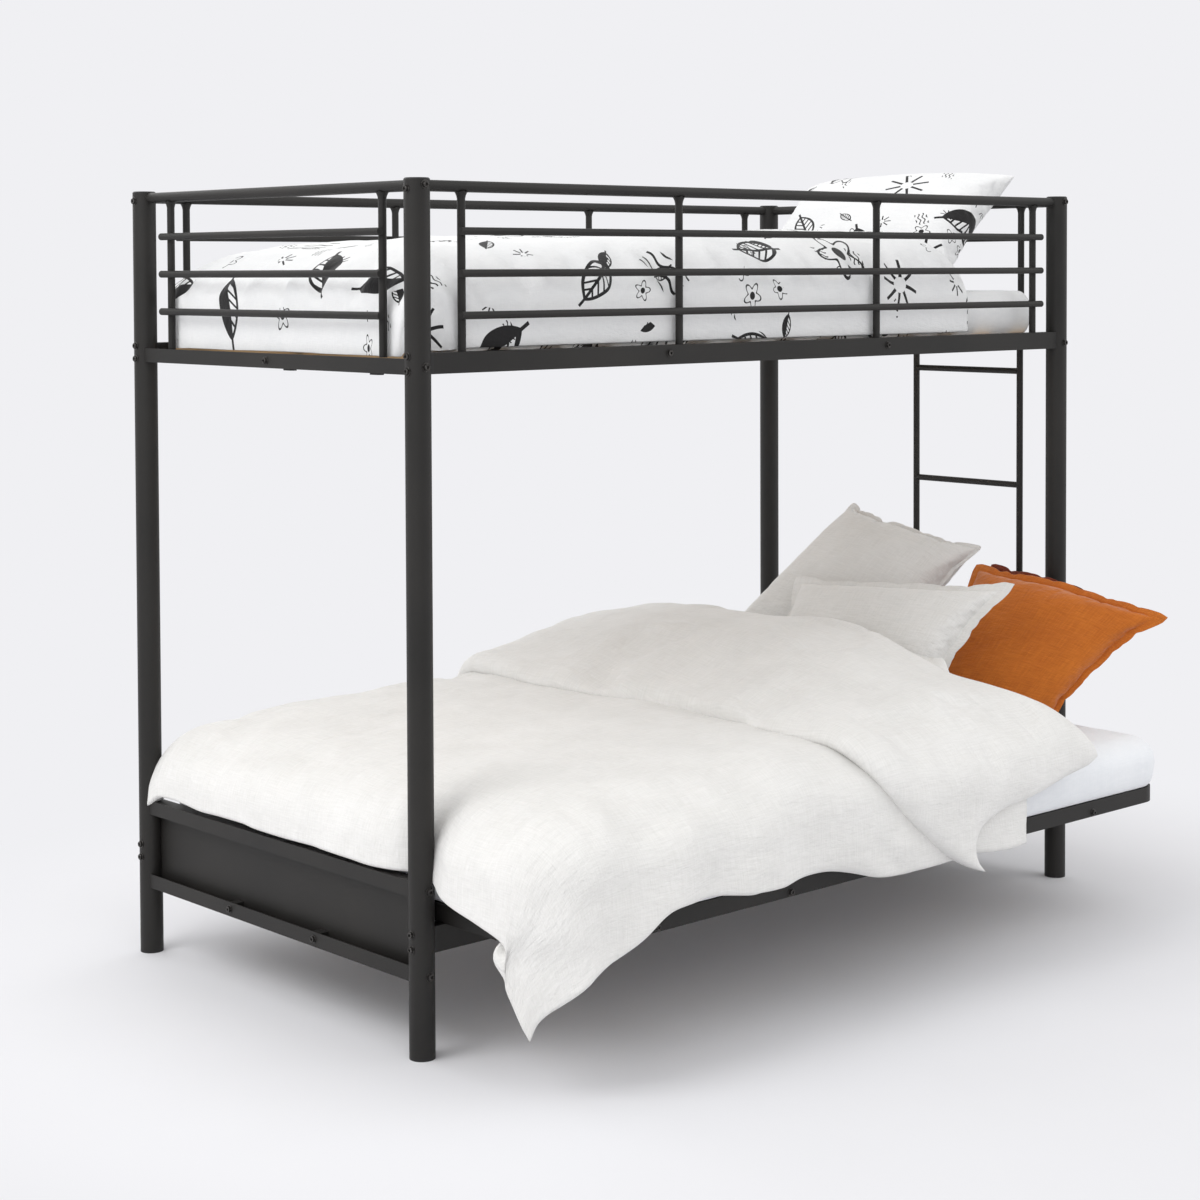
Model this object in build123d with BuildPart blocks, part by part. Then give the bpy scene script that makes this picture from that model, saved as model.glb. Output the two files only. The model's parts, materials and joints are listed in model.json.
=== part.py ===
# Metal bunk frame with a high single bed and a fold-out double bed below, made up with bedding.
# Millimetres, Z up. X runs along the beds, Y from the open front to the back.
# The origin is on the floor, in the middle of the whole outline.

from build123d import *
import os
from math import atan2, cos, degrees, radians, sin

os.makedirs("parts", exist_ok=True)

# Fits between pieces
weld_gap = 0.2
seat_gap = 0.3
soft_gap = 0.6
pivot_clearance = 0.05

# Beds, and the room between each of them and the posts
upper_mattress_width = 900
upper_mattress_thickness = 106
mattress_side_room = 31.5
mattress_end_room = 30
fold_bed_length = 1870
fold_end_room = 45
fold_mattress_side = 10

# Posts
post_spacing_x = fold_bed_length + 2 * fold_end_room
post_spacing_y = upper_mattress_width + 2 * mattress_side_room
post_diameter = 50
post_wall = 1.5
post_above_rail = 14.5
cap_height = 4
cap_edge = 2.5
foot_height = 6

# Rails of the high bed
side_rail_height = 40
side_rail_bottom = 1294
end_rail_height = 30
end_rail_bottom = 1293
rail_width = 30
rail_wall = 1.5
angle_thickness = 2.5
ledge_depth = 25
ledge_thickness = 2.5
saddle_thickness = 1
saddle_reach = 8

# Guards round the high bed
top_rail_diameter = 22
top_rail_height = 1647.5
post_height = top_rail_height + post_above_rail
guard_bar_diameter = 15
guard_bar_count = 3
guard_bar_rise_share = 0.22
guard_bar_pitch_share = 0.255
guard_upright_diameter = 16
guard_upright_inset = 106
guard_upright_inner = 298
guard_upright_shift = 20
guard_upright_right_inset = 95
guard_end_upright_inset = 107
guard_bar_overhang = 6

# Base of the high bed
cross_tube_width = 25
cross_tube_height = 25
cross_tube_x = 340
centre_tube_width = 25
centre_tube_height = 20
slats_between_cross_tubes = 4
slats_beyond_cross_tubes = 4
upper_slat_width = 60
upper_slat_thickness = 12
upper_mattress_length = post_spacing_x - 2 * mattress_end_room

# Ladder at the right end
ladder_inset = 110
ladder_width = 330
ladder_tube_diameter = 16
rung_diameter = 15
rung_pitch = 282
rung_top_drop = 58
rung_count = 4

# Low end frames
low_rail_height = 30
low_end_top = 336.5
low_end_bottom = 145
panel_thickness = 1.2
panel_inset = 12
pad_length = 34
pad_width = 16
pad_height = 4
pad_corner = 5
pad_insets = (137, 427)

# Low long rails and base tubes
long_rail_height = 50
long_rail_top = 250
base_tube_size = 25
base_tube_pitch = 301

# Fold-out bed
fold_front_reach = 330
fold_rear_inset = 8
fold_tube_width = 20
fold_tube_height = 35
fold_corner_radius = 50
fold_gap = 30
fold_cross_x = (315, 680)
fold_cross_size = 18
fold_slat_count = 8
fold_slat_end = 120
fold_slat_width = 53
fold_slat_thickness = 8
fold_slat_rise = 6
fold_slat_drop = 1
holder_length = 18
holder_wall = 2
fold_mattress_length = fold_bed_length + 2 * fold_mattress_side
fold_mattress_overhang = 15
fold_mattress_thickness = 120
fold_crease_width = 240

# Mattresses: share of the thickness and distance drawn in, level by level
cut_margin = 1
mattress_corner = 90
mattress_levels = ((0, 14), (0.25, 0), (0.75, 5), (1, 42))

# Fold mechanism
plate_thickness = 3
plate_gap = 0.5
pivot_diameter = 10
pivot_head_diameter = 16
pivot_head_height = 3
hinge_eye_radius = 10
hinge_plate_height = 18
ratchet_radius = 14
ratchet_tooth_count = 9
ratchet_tooth_size = 2
ratchet_start_angle = 120
ratchet_arc = 150
pawl_thickness = 6
pawl_length = 24
pawl_reach = 10.5
mechanism_inset = 70
bracket_foot_height = 22
bracket_shoulder = 40

# Bedding lines are given from the left posts, and from the front posts or the floor
bed_middle = post_spacing_x / 2
bed_end = post_spacing_x

# Duvet of the fold-out bed
duvet_front_reach = 425
duvet_thickness = 42
duvet_hem_depth = 84
duvet_rail_clearance = 8
duvet_stand_off = 4
duvet_rear_inset = 6
low_duvet_crest = 600
low_duvet_top_line = (
    (-8, 395), (14, 445), (60, 478), (260, 512), (bed_middle - 80, 528), (bed_middle + 70, 570),
    (bed_middle + 235, 600), (bed_end - 500, 600), (bed_end - 430, 490), (bed_end - 270, 462),
)
low_duvet_hem_line = (
    (bed_end - 270, 378), (bed_middle + 420, 305), (bed_middle + 310, 272), (bed_middle + 230, 200),
    (bed_middle + 180, 255), (bed_middle + 20, 260), (bed_middle - 225, 283), (bed_middle - 450, 292),
    (350, 291), (230, 268), (170, 240), (90, 195), (20, 140), (-8, 130),
)
low_duvet_end_hem_line = ((-430, 130), (-350, 130), (-255, 275), (-110, 308), (-35, 345))
low_duvet_head_line = (
    (bed_end - 360, 560), (bed_end - 460, 540), (bed_end - 460, -140), (bed_end - 440, -345),
    (bed_end - 270, -345),
)
low_duvet_fold_line = (
    (bed_end - 270, -398), (bed_middle + 460, -410), (bed_middle + 310, -395),
    (bed_middle + 230, -425), (bed_middle + 70, -413), (bed_middle - 120, -399),
    (bed_middle - 340, -417), (420, -398), (260, -412), (170, -400), (60, -425), (-8, -415),
)
low_duvet_pillow_line = (
    (bed_end - 625, 405), (bed_end - 625, 456), (bed_end - 505, 640), (bed_end - 260, 640),
    (bed_end - 260, 405),
)
low_duvet_pillow_side = -165

# Duvet sections: distance in from the edge and rise, as shares of the height
low_duvet_rear_section = ((0, 1 / 3), (1 / 3, 1))
low_duvet_front_section = ((1.5, 1), (0.45, 0.6), (0.1, 0.25))
high_duvet_section = ((0, 0), (0.2, 0.5), (1, 0.85), (2.5, 1))

# Duvet of the high bed
high_duvet_hem = 1350
high_duvet_side = 12
high_duvet_wall = 14
high_duvet_corner = 24
high_duvet_crest = 1585
high_duvet_top_line = (
    (12, 1440), (22, 1475), (60, 1500), (300, 1528), (bed_middle - 80, 1575), (bed_end - 460, 1585),
)
high_duvet_head_start = bed_end - 560
high_duvet_head_line = (
    (bed_end - 540, 300), (bed_end - 390, 95), (bed_end - 320, 80), (bed_end - 320, 12),
)

# Pillows: share of half the thickness and distance drawn in, level by level
pillow_corner = 25
pillow_shares = (0, 0.45, 0.8, 1)
pillow_insets = (0, 26, 80, 150)

# Each pillow: length, height and thickness, middle from the left and front posts, lean in degrees
white_pillow_front_size = (650, 480, 110)
white_pillow_front_place = (bed_end - 450, 195)
white_pillow_front_lean = 48
white_pillow_back_size = (600, 520, 120)
white_pillow_back_place = (bed_end - 215, 562)
white_pillow_back_lean = 60
ochre_pillow_size = (600, 450, 90)
ochre_pillow_place = (bed_end - 270, -42)
ochre_pillow_lean = 52
rust_pillow_size = (590, 450, 64)
rust_pillow_place = (bed_end - 166, -45)
rust_pillow_lean = 52
high_pillow_size = (650, 480, 120)
high_pillow_place = (bed_end - 190, 435)
high_pillow_lean = 38

# Main places worked out from the sizes
post_radius = post_diameter / 2
outline_front = -duvet_front_reach
outline_back = post_spacing_y + post_radius
y_front = -(outline_front + outline_back) / 2
y_back = y_front + post_spacing_y
y_middle = (y_front + y_back) / 2
x_left = -post_spacing_x / 2
x_right = post_spacing_x / 2
post_places = [(x, y) for x in (x_left, x_right) for y in (y_front, y_back)]

side_rail_middle = side_rail_bottom + side_rail_height / 2
side_rail_top = side_rail_bottom + side_rail_height
end_rail_middle = end_rail_bottom + end_rail_height / 2
guard_bottom = side_rail_top
guard_space = top_rail_height - guard_bottom
guard_bar_rise = guard_bar_rise_share * guard_space
guard_bar_pitch = guard_bar_pitch_share * guard_space
end_guard_bottom = end_rail_bottom + end_rail_height
centre_tube_bottom = end_rail_middle - centre_tube_height / 2
slat_seat = centre_tube_bottom + centre_tube_height
cross_tube_middle = slat_seat + upper_slat_thickness - cross_tube_height / 2
upper_mattress_bottom = slat_seat + upper_slat_thickness + seat_gap
upper_mattress_top = upper_mattress_bottom + upper_mattress_thickness

long_rail_middle = long_rail_top - long_rail_height / 2
low_rail_top_middle = low_end_top - low_rail_height / 2
low_rail_bottom_middle = low_end_bottom + low_rail_height / 2
base_tube_bottom = low_end_bottom + angle_thickness + seat_gap
base_tube_places = [y_middle - base_tube_pitch / 2, y_middle + base_tube_pitch / 2]

fold_front = y_front - fold_front_reach
fold_rear = y_back - fold_rear_inset
fold_y = (fold_front + fold_rear) / 2
fold_bottom = long_rail_top + seat_gap
fold_top = fold_bottom + fold_tube_height
fold_z = fold_bottom + fold_tube_height / 2
fold_mattress_bottom = fold_top + seat_gap
fold_mattress_top = fold_mattress_bottom + fold_mattress_thickness


def write(piece, name):
    """Label a finished piece and write it under its own name."""
    piece.part.label = name
    export_step(piece.part, "parts/" + name + ".step")


def standing_bars(places, bottom, top, diameter, mode=Mode.ADD):
    """Stand round bars at the given places, in the current part."""
    with BuildSketch(Plane.XY.offset(bottom)) as rounds:
        with Locations(*places):
            Circle(diameter / 2)
    extrude(rounds.sketch, amount=top - bottom, mode=mode)


def lying_bars(plane, places, length, diameter, mode=Mode.ADD):
    """Lay round bars, centred on the plane, in the current part."""
    with BuildSketch(plane) as rounds:
        with Locations(*places):
            Circle(diameter / 2)
    extrude(rounds.sketch, amount=length / 2, both=True, mode=mode)


def cut_round_posts(radius=post_radius):
    """Cope the current part to the four posts."""
    with BuildSketch(Plane.XY) as rounds:
        with Locations(*post_places):
            Circle(radius)
    extrude(rounds.sketch, amount=post_height, mode=Mode.SUBTRACT)


# Posts: four open steel tubes
for depth_name, y in (("front", y_front), ("back", y_back)):
    for side_name, x in (("left", x_left), ("right", x_right)):
        with BuildPart() as post:
            with BuildSketch(Plane.XY.offset(foot_height)):
                with Locations((x, y)):
                    Circle(post_radius)
                    Circle(post_radius - post_wall, mode=Mode.SUBTRACT)
            extrude(amount=post_height - cap_height - foot_height)
        write(post, "post_" + depth_name + "_" + side_name)

# Post caps: flush discs with a softened edge
with BuildPart() as post_caps:
    with BuildSketch(Plane.XY.offset(post_height - cap_height)):
        with Locations(*post_places):
            Circle(post_radius)
    extrude(amount=cap_height)
    chamfer(post_caps.edges().group_by(Axis.Z)[-1], length=cap_edge)
write(post_caps, "post_caps")

# Foot caps: discs between the tubes and the floor
with BuildPart() as foot_caps:
    with BuildSketch(Plane.XY):
        with Locations(*post_places):
            Circle(post_radius)
    extrude(amount=foot_height)
write(foot_caps, "foot_caps")

# Long guards: top rail, coped uprights and bars lapped on their outer faces
guard_upright_places = [
    x_left + guard_upright_inset,
    -guard_upright_inner,
    guard_upright_inner + guard_upright_shift,
    x_right - guard_upright_right_inset,
]
bar_lap = (guard_upright_diameter + guard_bar_diameter) / 2 + weld_gap
bar_heights = [guard_bottom + guard_bar_rise + n * guard_bar_pitch for n in range(guard_bar_count)]


def long_guard(y, outside):
    """One long guard in the plane of its two posts, with bars on the outside."""
    first, last = guard_upright_places[0], guard_upright_places[-1]
    middle = (first + last) / 2
    bar_length = last - first + guard_upright_diameter + 2 * guard_bar_overhang
    rail = [(y, top_rail_height)]
    bars = [(y + outside * bar_lap, z) for z in bar_heights]
    uprights = [(x, y) for x in guard_upright_places]
    with BuildPart() as guard:
        standing_bars(uprights, guard_bottom + weld_gap, top_rail_height, guard_upright_diameter)
        rail_groove = top_rail_diameter + 2 * weld_gap
        lying_bars(Plane.YZ, rail, post_spacing_x, rail_groove, Mode.SUBTRACT)
        lying_bars(Plane.YZ, rail, post_spacing_x, top_rail_diameter)
        cut_round_posts()
        lying_bars(Plane.YZ.offset(middle), bars, bar_length, guard_bar_diameter)
    return guard


write(long_guard(y_front, -1), "guard_front")
write(long_guard(y_back, 1), "guard_back")

# End guards: the same build, with two uprights
end_upright_places = [y_front + guard_end_upright_inset, y_back - guard_end_upright_inset]
end_plane = Plane(origin=(0, y_middle, 0), x_dir=(1, 0, 0), z_dir=(0, -1, 0))


def end_guard(x, outside):
    """One end guard in the plane of its two posts, with bars on the outside."""
    upright_spread = end_upright_places[1] - end_upright_places[0]
    bar_length = upright_spread + guard_upright_diameter + 2 * guard_bar_overhang
    rail = [(x, top_rail_height)]
    bars = [(x + outside * bar_lap, z) for z in bar_heights]
    uprights = [(x, y) for y in end_upright_places]
    with BuildPart() as guard:
        standing_bars(
            uprights, end_guard_bottom + weld_gap, top_rail_height, guard_upright_diameter
        )
        rail_groove = top_rail_diameter + 2 * weld_gap
        lying_bars(end_plane, rail, post_spacing_y, rail_groove, Mode.SUBTRACT)
        lying_bars(end_plane, rail, post_spacing_y, top_rail_diameter)
        cut_round_posts()
        lying_bars(end_plane, bars, bar_length, guard_bar_diameter)
    return guard


write(end_guard(x_left, -1), "guard_left")
write(end_guard(x_right, 1), "guard_right")


# Side rails of the high bed: box section with a ledge inside for the slats
rail_length = post_spacing_x - post_diameter - 2 * saddle_thickness
cross_tube_places = [-cross_tube_x, cross_tube_x]


def side_rail(y, inward):
    """One long box rail with its slat ledge, notched where the cross tubes meet it."""
    ledge_middle = y + inward * (rail_width + ledge_depth) / 2
    with BuildPart() as rail:
        with BuildSketch(Plane.YZ):
            with Locations((y, side_rail_middle)):
                Rectangle(rail_width, side_rail_height)
                Rectangle(
                    rail_width - 2 * rail_wall,
                    side_rail_height - 2 * rail_wall,
                    mode=Mode.SUBTRACT,
                )
            with Locations((ledge_middle, slat_seat - ledge_thickness / 2)):
                Rectangle(ledge_depth, ledge_thickness)
        extrude(amount=rail_length / 2, both=True)
        with BuildSketch(Plane.XY.offset(side_rail_bottom)):
            with Locations(*[(x, ledge_middle) for x in cross_tube_places]):
                Rectangle(cross_tube_width + 2 * seat_gap, ledge_depth)
        extrude(amount=side_rail_height, mode=Mode.SUBTRACT)
    return rail


write(side_rail(y_front, 1), "side_rail_front")
write(side_rail(y_back, -1), "side_rail_back")

# Cross tubes between the side rails
cross_tube_length = post_spacing_y - rail_width - 2 * weld_gap
with BuildPart() as cross_tubes:
    with BuildSketch(end_plane):
        with Locations(*[(x, cross_tube_middle) for x in cross_tube_places]):
            Rectangle(cross_tube_width, cross_tube_height)
            Rectangle(
                cross_tube_width - 2 * rail_wall,
                cross_tube_height - 2 * rail_wall,
                mode=Mode.SUBTRACT,
            )
    extrude(amount=cross_tube_length / 2, both=True)
write(cross_tubes, "cross_tubes")


def end_angle(x, inward, bottom, flange_on_top):
    """One angle between the two posts of an end, its upright leg outside."""
    leg = x - inward * (rail_width - angle_thickness) / 2
    if flange_on_top:
        flange = bottom + low_rail_height - angle_thickness / 2
    else:
        flange = bottom + angle_thickness / 2
    with BuildPart() as angle:
        with BuildSketch(end_plane):
            with Locations((leg, bottom + low_rail_height / 2)):
                Rectangle(angle_thickness, low_rail_height)
            with Locations((x, flange)):
                Rectangle(rail_width, angle_thickness)
        extrude(amount=post_spacing_y / 2, both=True)
        cut_round_posts()
    return angle


for side_name, x, inward in (("left", x_left, 1), ("right", x_right, -1)):
    write(end_angle(x, inward, end_rail_bottom, False), "end_rail_" + side_name)
    write(end_angle(x, inward, low_end_top - low_rail_height, True), "low_end_top_" + side_name)
    write(end_angle(x, inward, low_end_bottom, False), "low_end_bottom_" + side_name)

# Centre tube of the high bed, in three lengths between the end rails and the cross tubes
centre_end = post_spacing_x / 2 + rail_width / 2 - angle_thickness - weld_gap
centre_cuts = [-centre_end, -cross_tube_x, cross_tube_x, centre_end]
with BuildPart() as centre_tube:
    for n in range(3):
        start = centre_cuts[n] + (cross_tube_width / 2 + weld_gap if n > 0 else 0)
        end = centre_cuts[n + 1] - (cross_tube_width / 2 + weld_gap if n < 2 else 0)
        with BuildSketch(Plane.YZ.offset(start)):
            with Locations((y_middle, centre_tube_bottom + centre_tube_height / 2)):
                Rectangle(centre_tube_width, centre_tube_height)
                Rectangle(
                    centre_tube_width - 2 * rail_wall,
                    centre_tube_height - 2 * rail_wall,
                    mode=Mode.SUBTRACT,
                )
        extrude(amount=end - start)
write(centre_tube, "centre_tube")

# Slats of the high bed, evenly spaced, with each cross tube in the place of one slat
slat_length = post_spacing_y - rail_width - 2 * seat_gap
slat_pitch = 2 * cross_tube_x / (slats_between_cross_tubes + 1)
slat_places = []
for n in range(slats_between_cross_tubes):
    slat_places.append((n - (slats_between_cross_tubes - 1) / 2) * slat_pitch)
for n in range(slats_beyond_cross_tubes):
    slat_places.append(cross_tube_x + (n + 1) * slat_pitch)
    slat_places.append(-cross_tube_x - (n + 1) * slat_pitch)
with BuildPart() as upper_slats:
    with BuildSketch(Plane.XY.offset(slat_seat)):
        with Locations(*[(x, y_middle) for x in slat_places]):
            Rectangle(upper_slat_width, slat_length)
    extrude(amount=upper_slat_thickness)
write(upper_slats, "upper_slats")

# Plastic saddles between the flat rail ends and the round posts
with BuildPart() as rail_saddles:
    for height, bottom in (
        (side_rail_height, side_rail_bottom),
        (long_rail_height, long_rail_top - long_rail_height),
    ):
        with BuildSketch(Plane.XY.offset(bottom)):
            for x, y in post_places:
                inward = -1 if x > 0 else 1
                with Locations((x + inward * (post_radius - saddle_reach / 2 + saddle_thickness), y)):
                    Rectangle(saddle_reach, rail_width)
            with Locations(*post_places):
                Circle(post_radius, mode=Mode.SUBTRACT)
        extrude(amount=height)
write(rail_saddles, "rail_saddles")

# Ladder: two uprights between the end rails, with coped rungs
ladder_places = [y_front + ladder_inset, y_front + ladder_inset + ladder_width]
ladder_top = end_rail_bottom - weld_gap
ladder_bottom = low_end_top + weld_gap
rung_heights = [ladder_top - rung_top_drop - n * rung_pitch for n in range(rung_count)]
ladder_plane = Plane(origin=(0, sum(ladder_places) / 2, 0), x_dir=(1, 0, 0), z_dir=(0, -1, 0))
with BuildPart() as ladder:
    uprights = [(x_right, y) for y in ladder_places]
    rungs = [(x_right, z) for z in rung_heights]
    lying_bars(ladder_plane, rungs, ladder_width, rung_diameter)
    groove = ladder_tube_diameter + 2 * weld_gap
    standing_bars(uprights, ladder_bottom, ladder_top, groove, Mode.SUBTRACT)
    standing_bars(uprights, ladder_bottom, ladder_top, ladder_tube_diameter)
write(ladder, "ladder")

# Low long rails: box section between the posts
for depth_name, y in (("front", y_front), ("back", y_back)):
    with BuildPart() as long_rail:
        with BuildSketch(Plane.YZ):
            with Locations((y, long_rail_middle)):
                Rectangle(rail_width, long_rail_height)
                Rectangle(
                    rail_width - 2 * rail_wall, long_rail_height - 2 * rail_wall, mode=Mode.SUBTRACT
                )
        extrude(amount=rail_length / 2, both=True)
    write(long_rail, "long_rail_" + depth_name)

# Base tubes: two box tubes along the bed, resting on the flanges of the low end rails
base_tube_end = post_spacing_x / 2 + rail_width / 2 - angle_thickness - weld_gap
with BuildPart() as base_tubes:
    with BuildSketch(Plane.YZ):
        with Locations(*[(y, base_tube_bottom + base_tube_size / 2) for y in base_tube_places]):
            Rectangle(base_tube_size, base_tube_size)
            Rectangle(
                base_tube_size - 2 * rail_wall, base_tube_size - 2 * rail_wall, mode=Mode.SUBTRACT
            )
    extrude(amount=base_tube_end, both=True)
write(base_tubes, "base_tubes")

# End panels: sheet steel between the low end rails, notched round the base tubes
panel_bottom = low_end_bottom + angle_thickness + weld_gap
panel_top = low_end_top - angle_thickness - weld_gap
for side_name, x, inward in (("left", x_left, 1), ("right", x_right, -1)):
    with BuildPart() as end_panel:
        with BuildSketch(Plane.YZ.offset(x + inward * panel_inset)):
            with Locations((y_middle, (panel_bottom + panel_top) / 2)):
                Rectangle(post_spacing_y, panel_top - panel_bottom)
            with Locations(*[(y, base_tube_bottom + base_tube_size / 2) for y in base_tube_places]):
                Rectangle(
                    base_tube_size + 2 * seat_gap, base_tube_size + 2 * seat_gap, mode=Mode.SUBTRACT
                )
        extrude(amount=inward * panel_thickness)
        cut_round_posts(post_radius + weld_gap)
    write(end_panel, "end_panel_" + side_name)

# Small pads with cut corners on the flanges of the end rails, clear of the ladder
with BuildPart() as rail_pads:
    pad_places = [
        (x + inward * (rail_width - pad_width) / 2, y_front + y)
        for x, inward in ((x_left, 1), (x_right, -1))
        for y in pad_insets
    ]
    for level, height in ((low_end_top, pad_height), (end_rail_bottom, -pad_height)):
        with BuildSketch(Plane.XY.offset(level)) as pads:
            with Locations(*pad_places):
                Rectangle(pad_width, pad_length)
            chamfer(pads.vertices(), length=pad_corner)
        extrude(amount=height)
    standing_bars(
        [(x_right, y) for y in ladder_places],
        low_end_top,
        end_rail_bottom,
        ladder_tube_diameter + 2 * seat_gap,
        Mode.SUBTRACT,
    )
write(rail_pads, "rail_pads")


# Fold-out bed: each half is a bent rectangular tube with a straight tube on the fold line
def bent_band(edge, fold_edge, inset, outset, level):
    """A band bent round two corners, open at the fold, between two insets from its outline."""
    side = 1 if fold_edge > edge else -1
    with BuildSketch(Plane.XY.offset(level)) as band:
        for step, mode in ((inset, Mode.ADD), (outset, Mode.SUBTRACT)):
            near = edge + side * step
            half = fold_bed_length / 2 - step
            with BuildLine() as line:
                FilletPolyline(
                    (-half, fold_edge),
                    (-half, near),
                    (half, near),
                    (half, fold_edge),
                    radius=fold_corner_radius - step,
                )
                Line((half, fold_edge), (-half, fold_edge))
            make_face(line.edges(), mode=mode)
    return band.sketch


def fold_half(edge, side):
    """The steel frame of one half, whose fold tube lies beside the fold line."""
    near_fold = fold_y - side * fold_gap / 2
    tube_middle = near_fold - side * fold_tube_width / 2
    arm_end = near_fold - side * (fold_tube_width + weld_gap)
    cross_start = edge + side * (fold_tube_width + weld_gap)
    cross_plane = Plane(
        origin=(0, cross_start, fold_bottom + fold_cross_size / 2),
        x_dir=(1, 0, 0),
        z_dir=(0, side, 0),
    )
    with BuildPart() as half:
        extrude(bent_band(edge, arm_end, 0, fold_tube_width, fold_bottom), amount=fold_tube_height)
        extrude(
            bent_band(edge, arm_end, rail_wall, fold_tube_width - rail_wall, fold_bottom + rail_wall),
            amount=fold_tube_height - 2 * rail_wall,
            mode=Mode.SUBTRACT,
        )
        with BuildSketch(Plane.YZ):
            with Locations((tube_middle, fold_z)):
                Rectangle(fold_tube_width, fold_tube_height)
                Rectangle(
                    fold_tube_width - 2 * rail_wall,
                    fold_tube_height - 2 * rail_wall,
                    mode=Mode.SUBTRACT,
                )
        extrude(amount=fold_bed_length / 2, both=True)
        with BuildSketch(cross_plane):
            with Locations(*[(side_x * x, 0) for x in fold_cross_x for side_x in (-1, 1)]):
                Rectangle(fold_cross_size, fold_cross_size)
                Rectangle(
                    fold_cross_size - 2 * rail_wall,
                    fold_cross_size - 2 * rail_wall,
                    mode=Mode.SUBTRACT,
                )
        extrude(amount=abs(arm_end - cross_start))
    return half


write(fold_half(fold_front, 1), "seat_frame")
write(fold_half(fold_rear, -1), "back_frame")

# Sprung slats of the fold-out bed, in plastic holders on the inner faces of its tubes
fold_slat_pitch = (fold_bed_length - 2 * fold_slat_end) / (fold_slat_count - 1)
fold_slat_places = [
    -fold_bed_length / 2 + fold_slat_end + n * fold_slat_pitch for n in range(fold_slat_count)
]
holder_width = fold_slat_width + 2 * holder_wall
holder_height = fold_slat_thickness + 2 * holder_wall
slat_level = fold_top - fold_slat_rise - fold_slat_thickness / 2 - fold_slat_drop


def slat_set(edge, side, name):
    """The slats and holders of one half."""
    outer = edge + side * (fold_tube_width + weld_gap)
    inner = fold_y - side * (fold_gap / 2 + fold_tube_width + weld_gap)
    start = outer + side * holder_wall
    end = inner - side * holder_wall
    middle = (start + end) / 2
    low = slat_level - fold_slat_thickness / 2
    high = slat_level + fold_slat_thickness / 2
    with BuildPart() as slats:
        for x in fold_slat_places:
            with BuildSketch(Plane.YZ.offset(x - fold_slat_width / 2)):
                with BuildLine():
                    ThreePointArc((start, low), (middle, low + fold_slat_rise), (end, low))
                    Line((end, low), (end, high))
                    ThreePointArc((end, high), (middle, high + fold_slat_rise), (start, high))
                    Line((start, high), (start, low))
                make_face()
            extrude(amount=fold_slat_width)
    write(slats, name + "_slats")
    with BuildPart() as holders:
        with BuildSketch(Plane.XY.offset(slat_level - holder_height / 2)):
            with Locations(*[(x, outer + side * holder_length / 2) for x in fold_slat_places]):
                Rectangle(holder_width, holder_length)
            with Locations(*[(x, inner - side * holder_length / 2) for x in fold_slat_places]):
                Rectangle(holder_width, holder_length)
        extrude(amount=holder_height)
        pocket = fold_slat_thickness + 2 * seat_gap
        with BuildSketch(Plane.XY.offset(slat_level - pocket / 2)):
            with Locations(*[(x, middle) for x in fold_slat_places]):
                Rectangle(fold_slat_width + 2 * seat_gap, abs(end - start))
        extrude(amount=pocket + holder_wall, mode=Mode.SUBTRACT)
    write(holders, name + "_slat_holders")


slat_set(fold_front, 1, "seat")
slat_set(fold_rear, -1, "back")


# Fold mechanism at each end: a bracket on the base tubes, two hinge plates, a pawl and a pin
bracket_bottom = base_tube_bottom + base_tube_size + weld_gap
bore_radius = pivot_diameter / 2 + pivot_clearance
bracket_ends = (base_tube_places[0] - base_tube_size, base_tube_places[1] + base_tube_size / 2)

for side_name, x, inward in (("left", x_left, 1), ("right", x_right, -1)):
    first = x + inward * mechanism_inset
    second = first + inward * (plate_thickness + plate_gap)
    third = second + inward * (plate_thickness + plate_gap)
    with BuildPart() as bracket:
        with BuildSketch(Plane.YZ.offset(first)):
            with BuildLine():
                Polyline(
                    (fold_y - hinge_eye_radius, fold_z),
                    (fold_y - hinge_eye_radius, bracket_bottom),
                    (bracket_ends[1], bracket_bottom),
                    (bracket_ends[1], bracket_bottom + bracket_foot_height),
                    (fold_y + bracket_shoulder, bracket_bottom + bracket_foot_height),
                    (fold_y + hinge_eye_radius, bracket_bottom + bracket_shoulder),
                    (fold_y + hinge_eye_radius, fold_z),
                    close=True,
                )
            make_face()
            with Locations((fold_y, fold_z)):
                Circle(hinge_eye_radius)
                Circle(bore_radius, mode=Mode.SUBTRACT)
        extrude(amount=inward * plate_thickness)
    write(bracket, "fold_bracket_" + side_name)

    with BuildPart() as seat_hinge:
        tongue = fold_gap / 2 - weld_gap + hinge_eye_radius
        with BuildSketch(Plane.YZ.offset(second)) as outline:
            with Locations((fold_y + hinge_eye_radius - tongue / 2, fold_z)):
                Rectangle(tongue, 2 * hinge_eye_radius)
            chamfer(outline.vertices().group_by(Axis.Y)[-1], length=hinge_eye_radius / 2)
            with Locations((fold_y, fold_z)):
                Circle(bore_radius, mode=Mode.SUBTRACT)
        extrude(amount=inward * plate_thickness)
    write(seat_hinge, "seat_hinge_" + side_name)

    with BuildPart() as back_hinge:
        with BuildSketch(Plane.YZ.offset(third)) as outline:
            with Locations((fold_y + (fold_gap / 2 - weld_gap) / 2, fold_z)):
                Rectangle(fold_gap / 2 - weld_gap, hinge_plate_height)
            with Locations((fold_y, fold_z)):
                Circle(ratchet_radius)
                Circle(bore_radius, mode=Mode.SUBTRACT)
                with PolarLocations(
                    ratchet_radius, ratchet_tooth_count, ratchet_start_angle, ratchet_arc
                ):
                    RegularPolygon(ratchet_tooth_size, 3, mode=Mode.SUBTRACT)
        extrude(amount=inward * plate_thickness)
    write(back_hinge, "back_ratchet_" + side_name)

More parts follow.
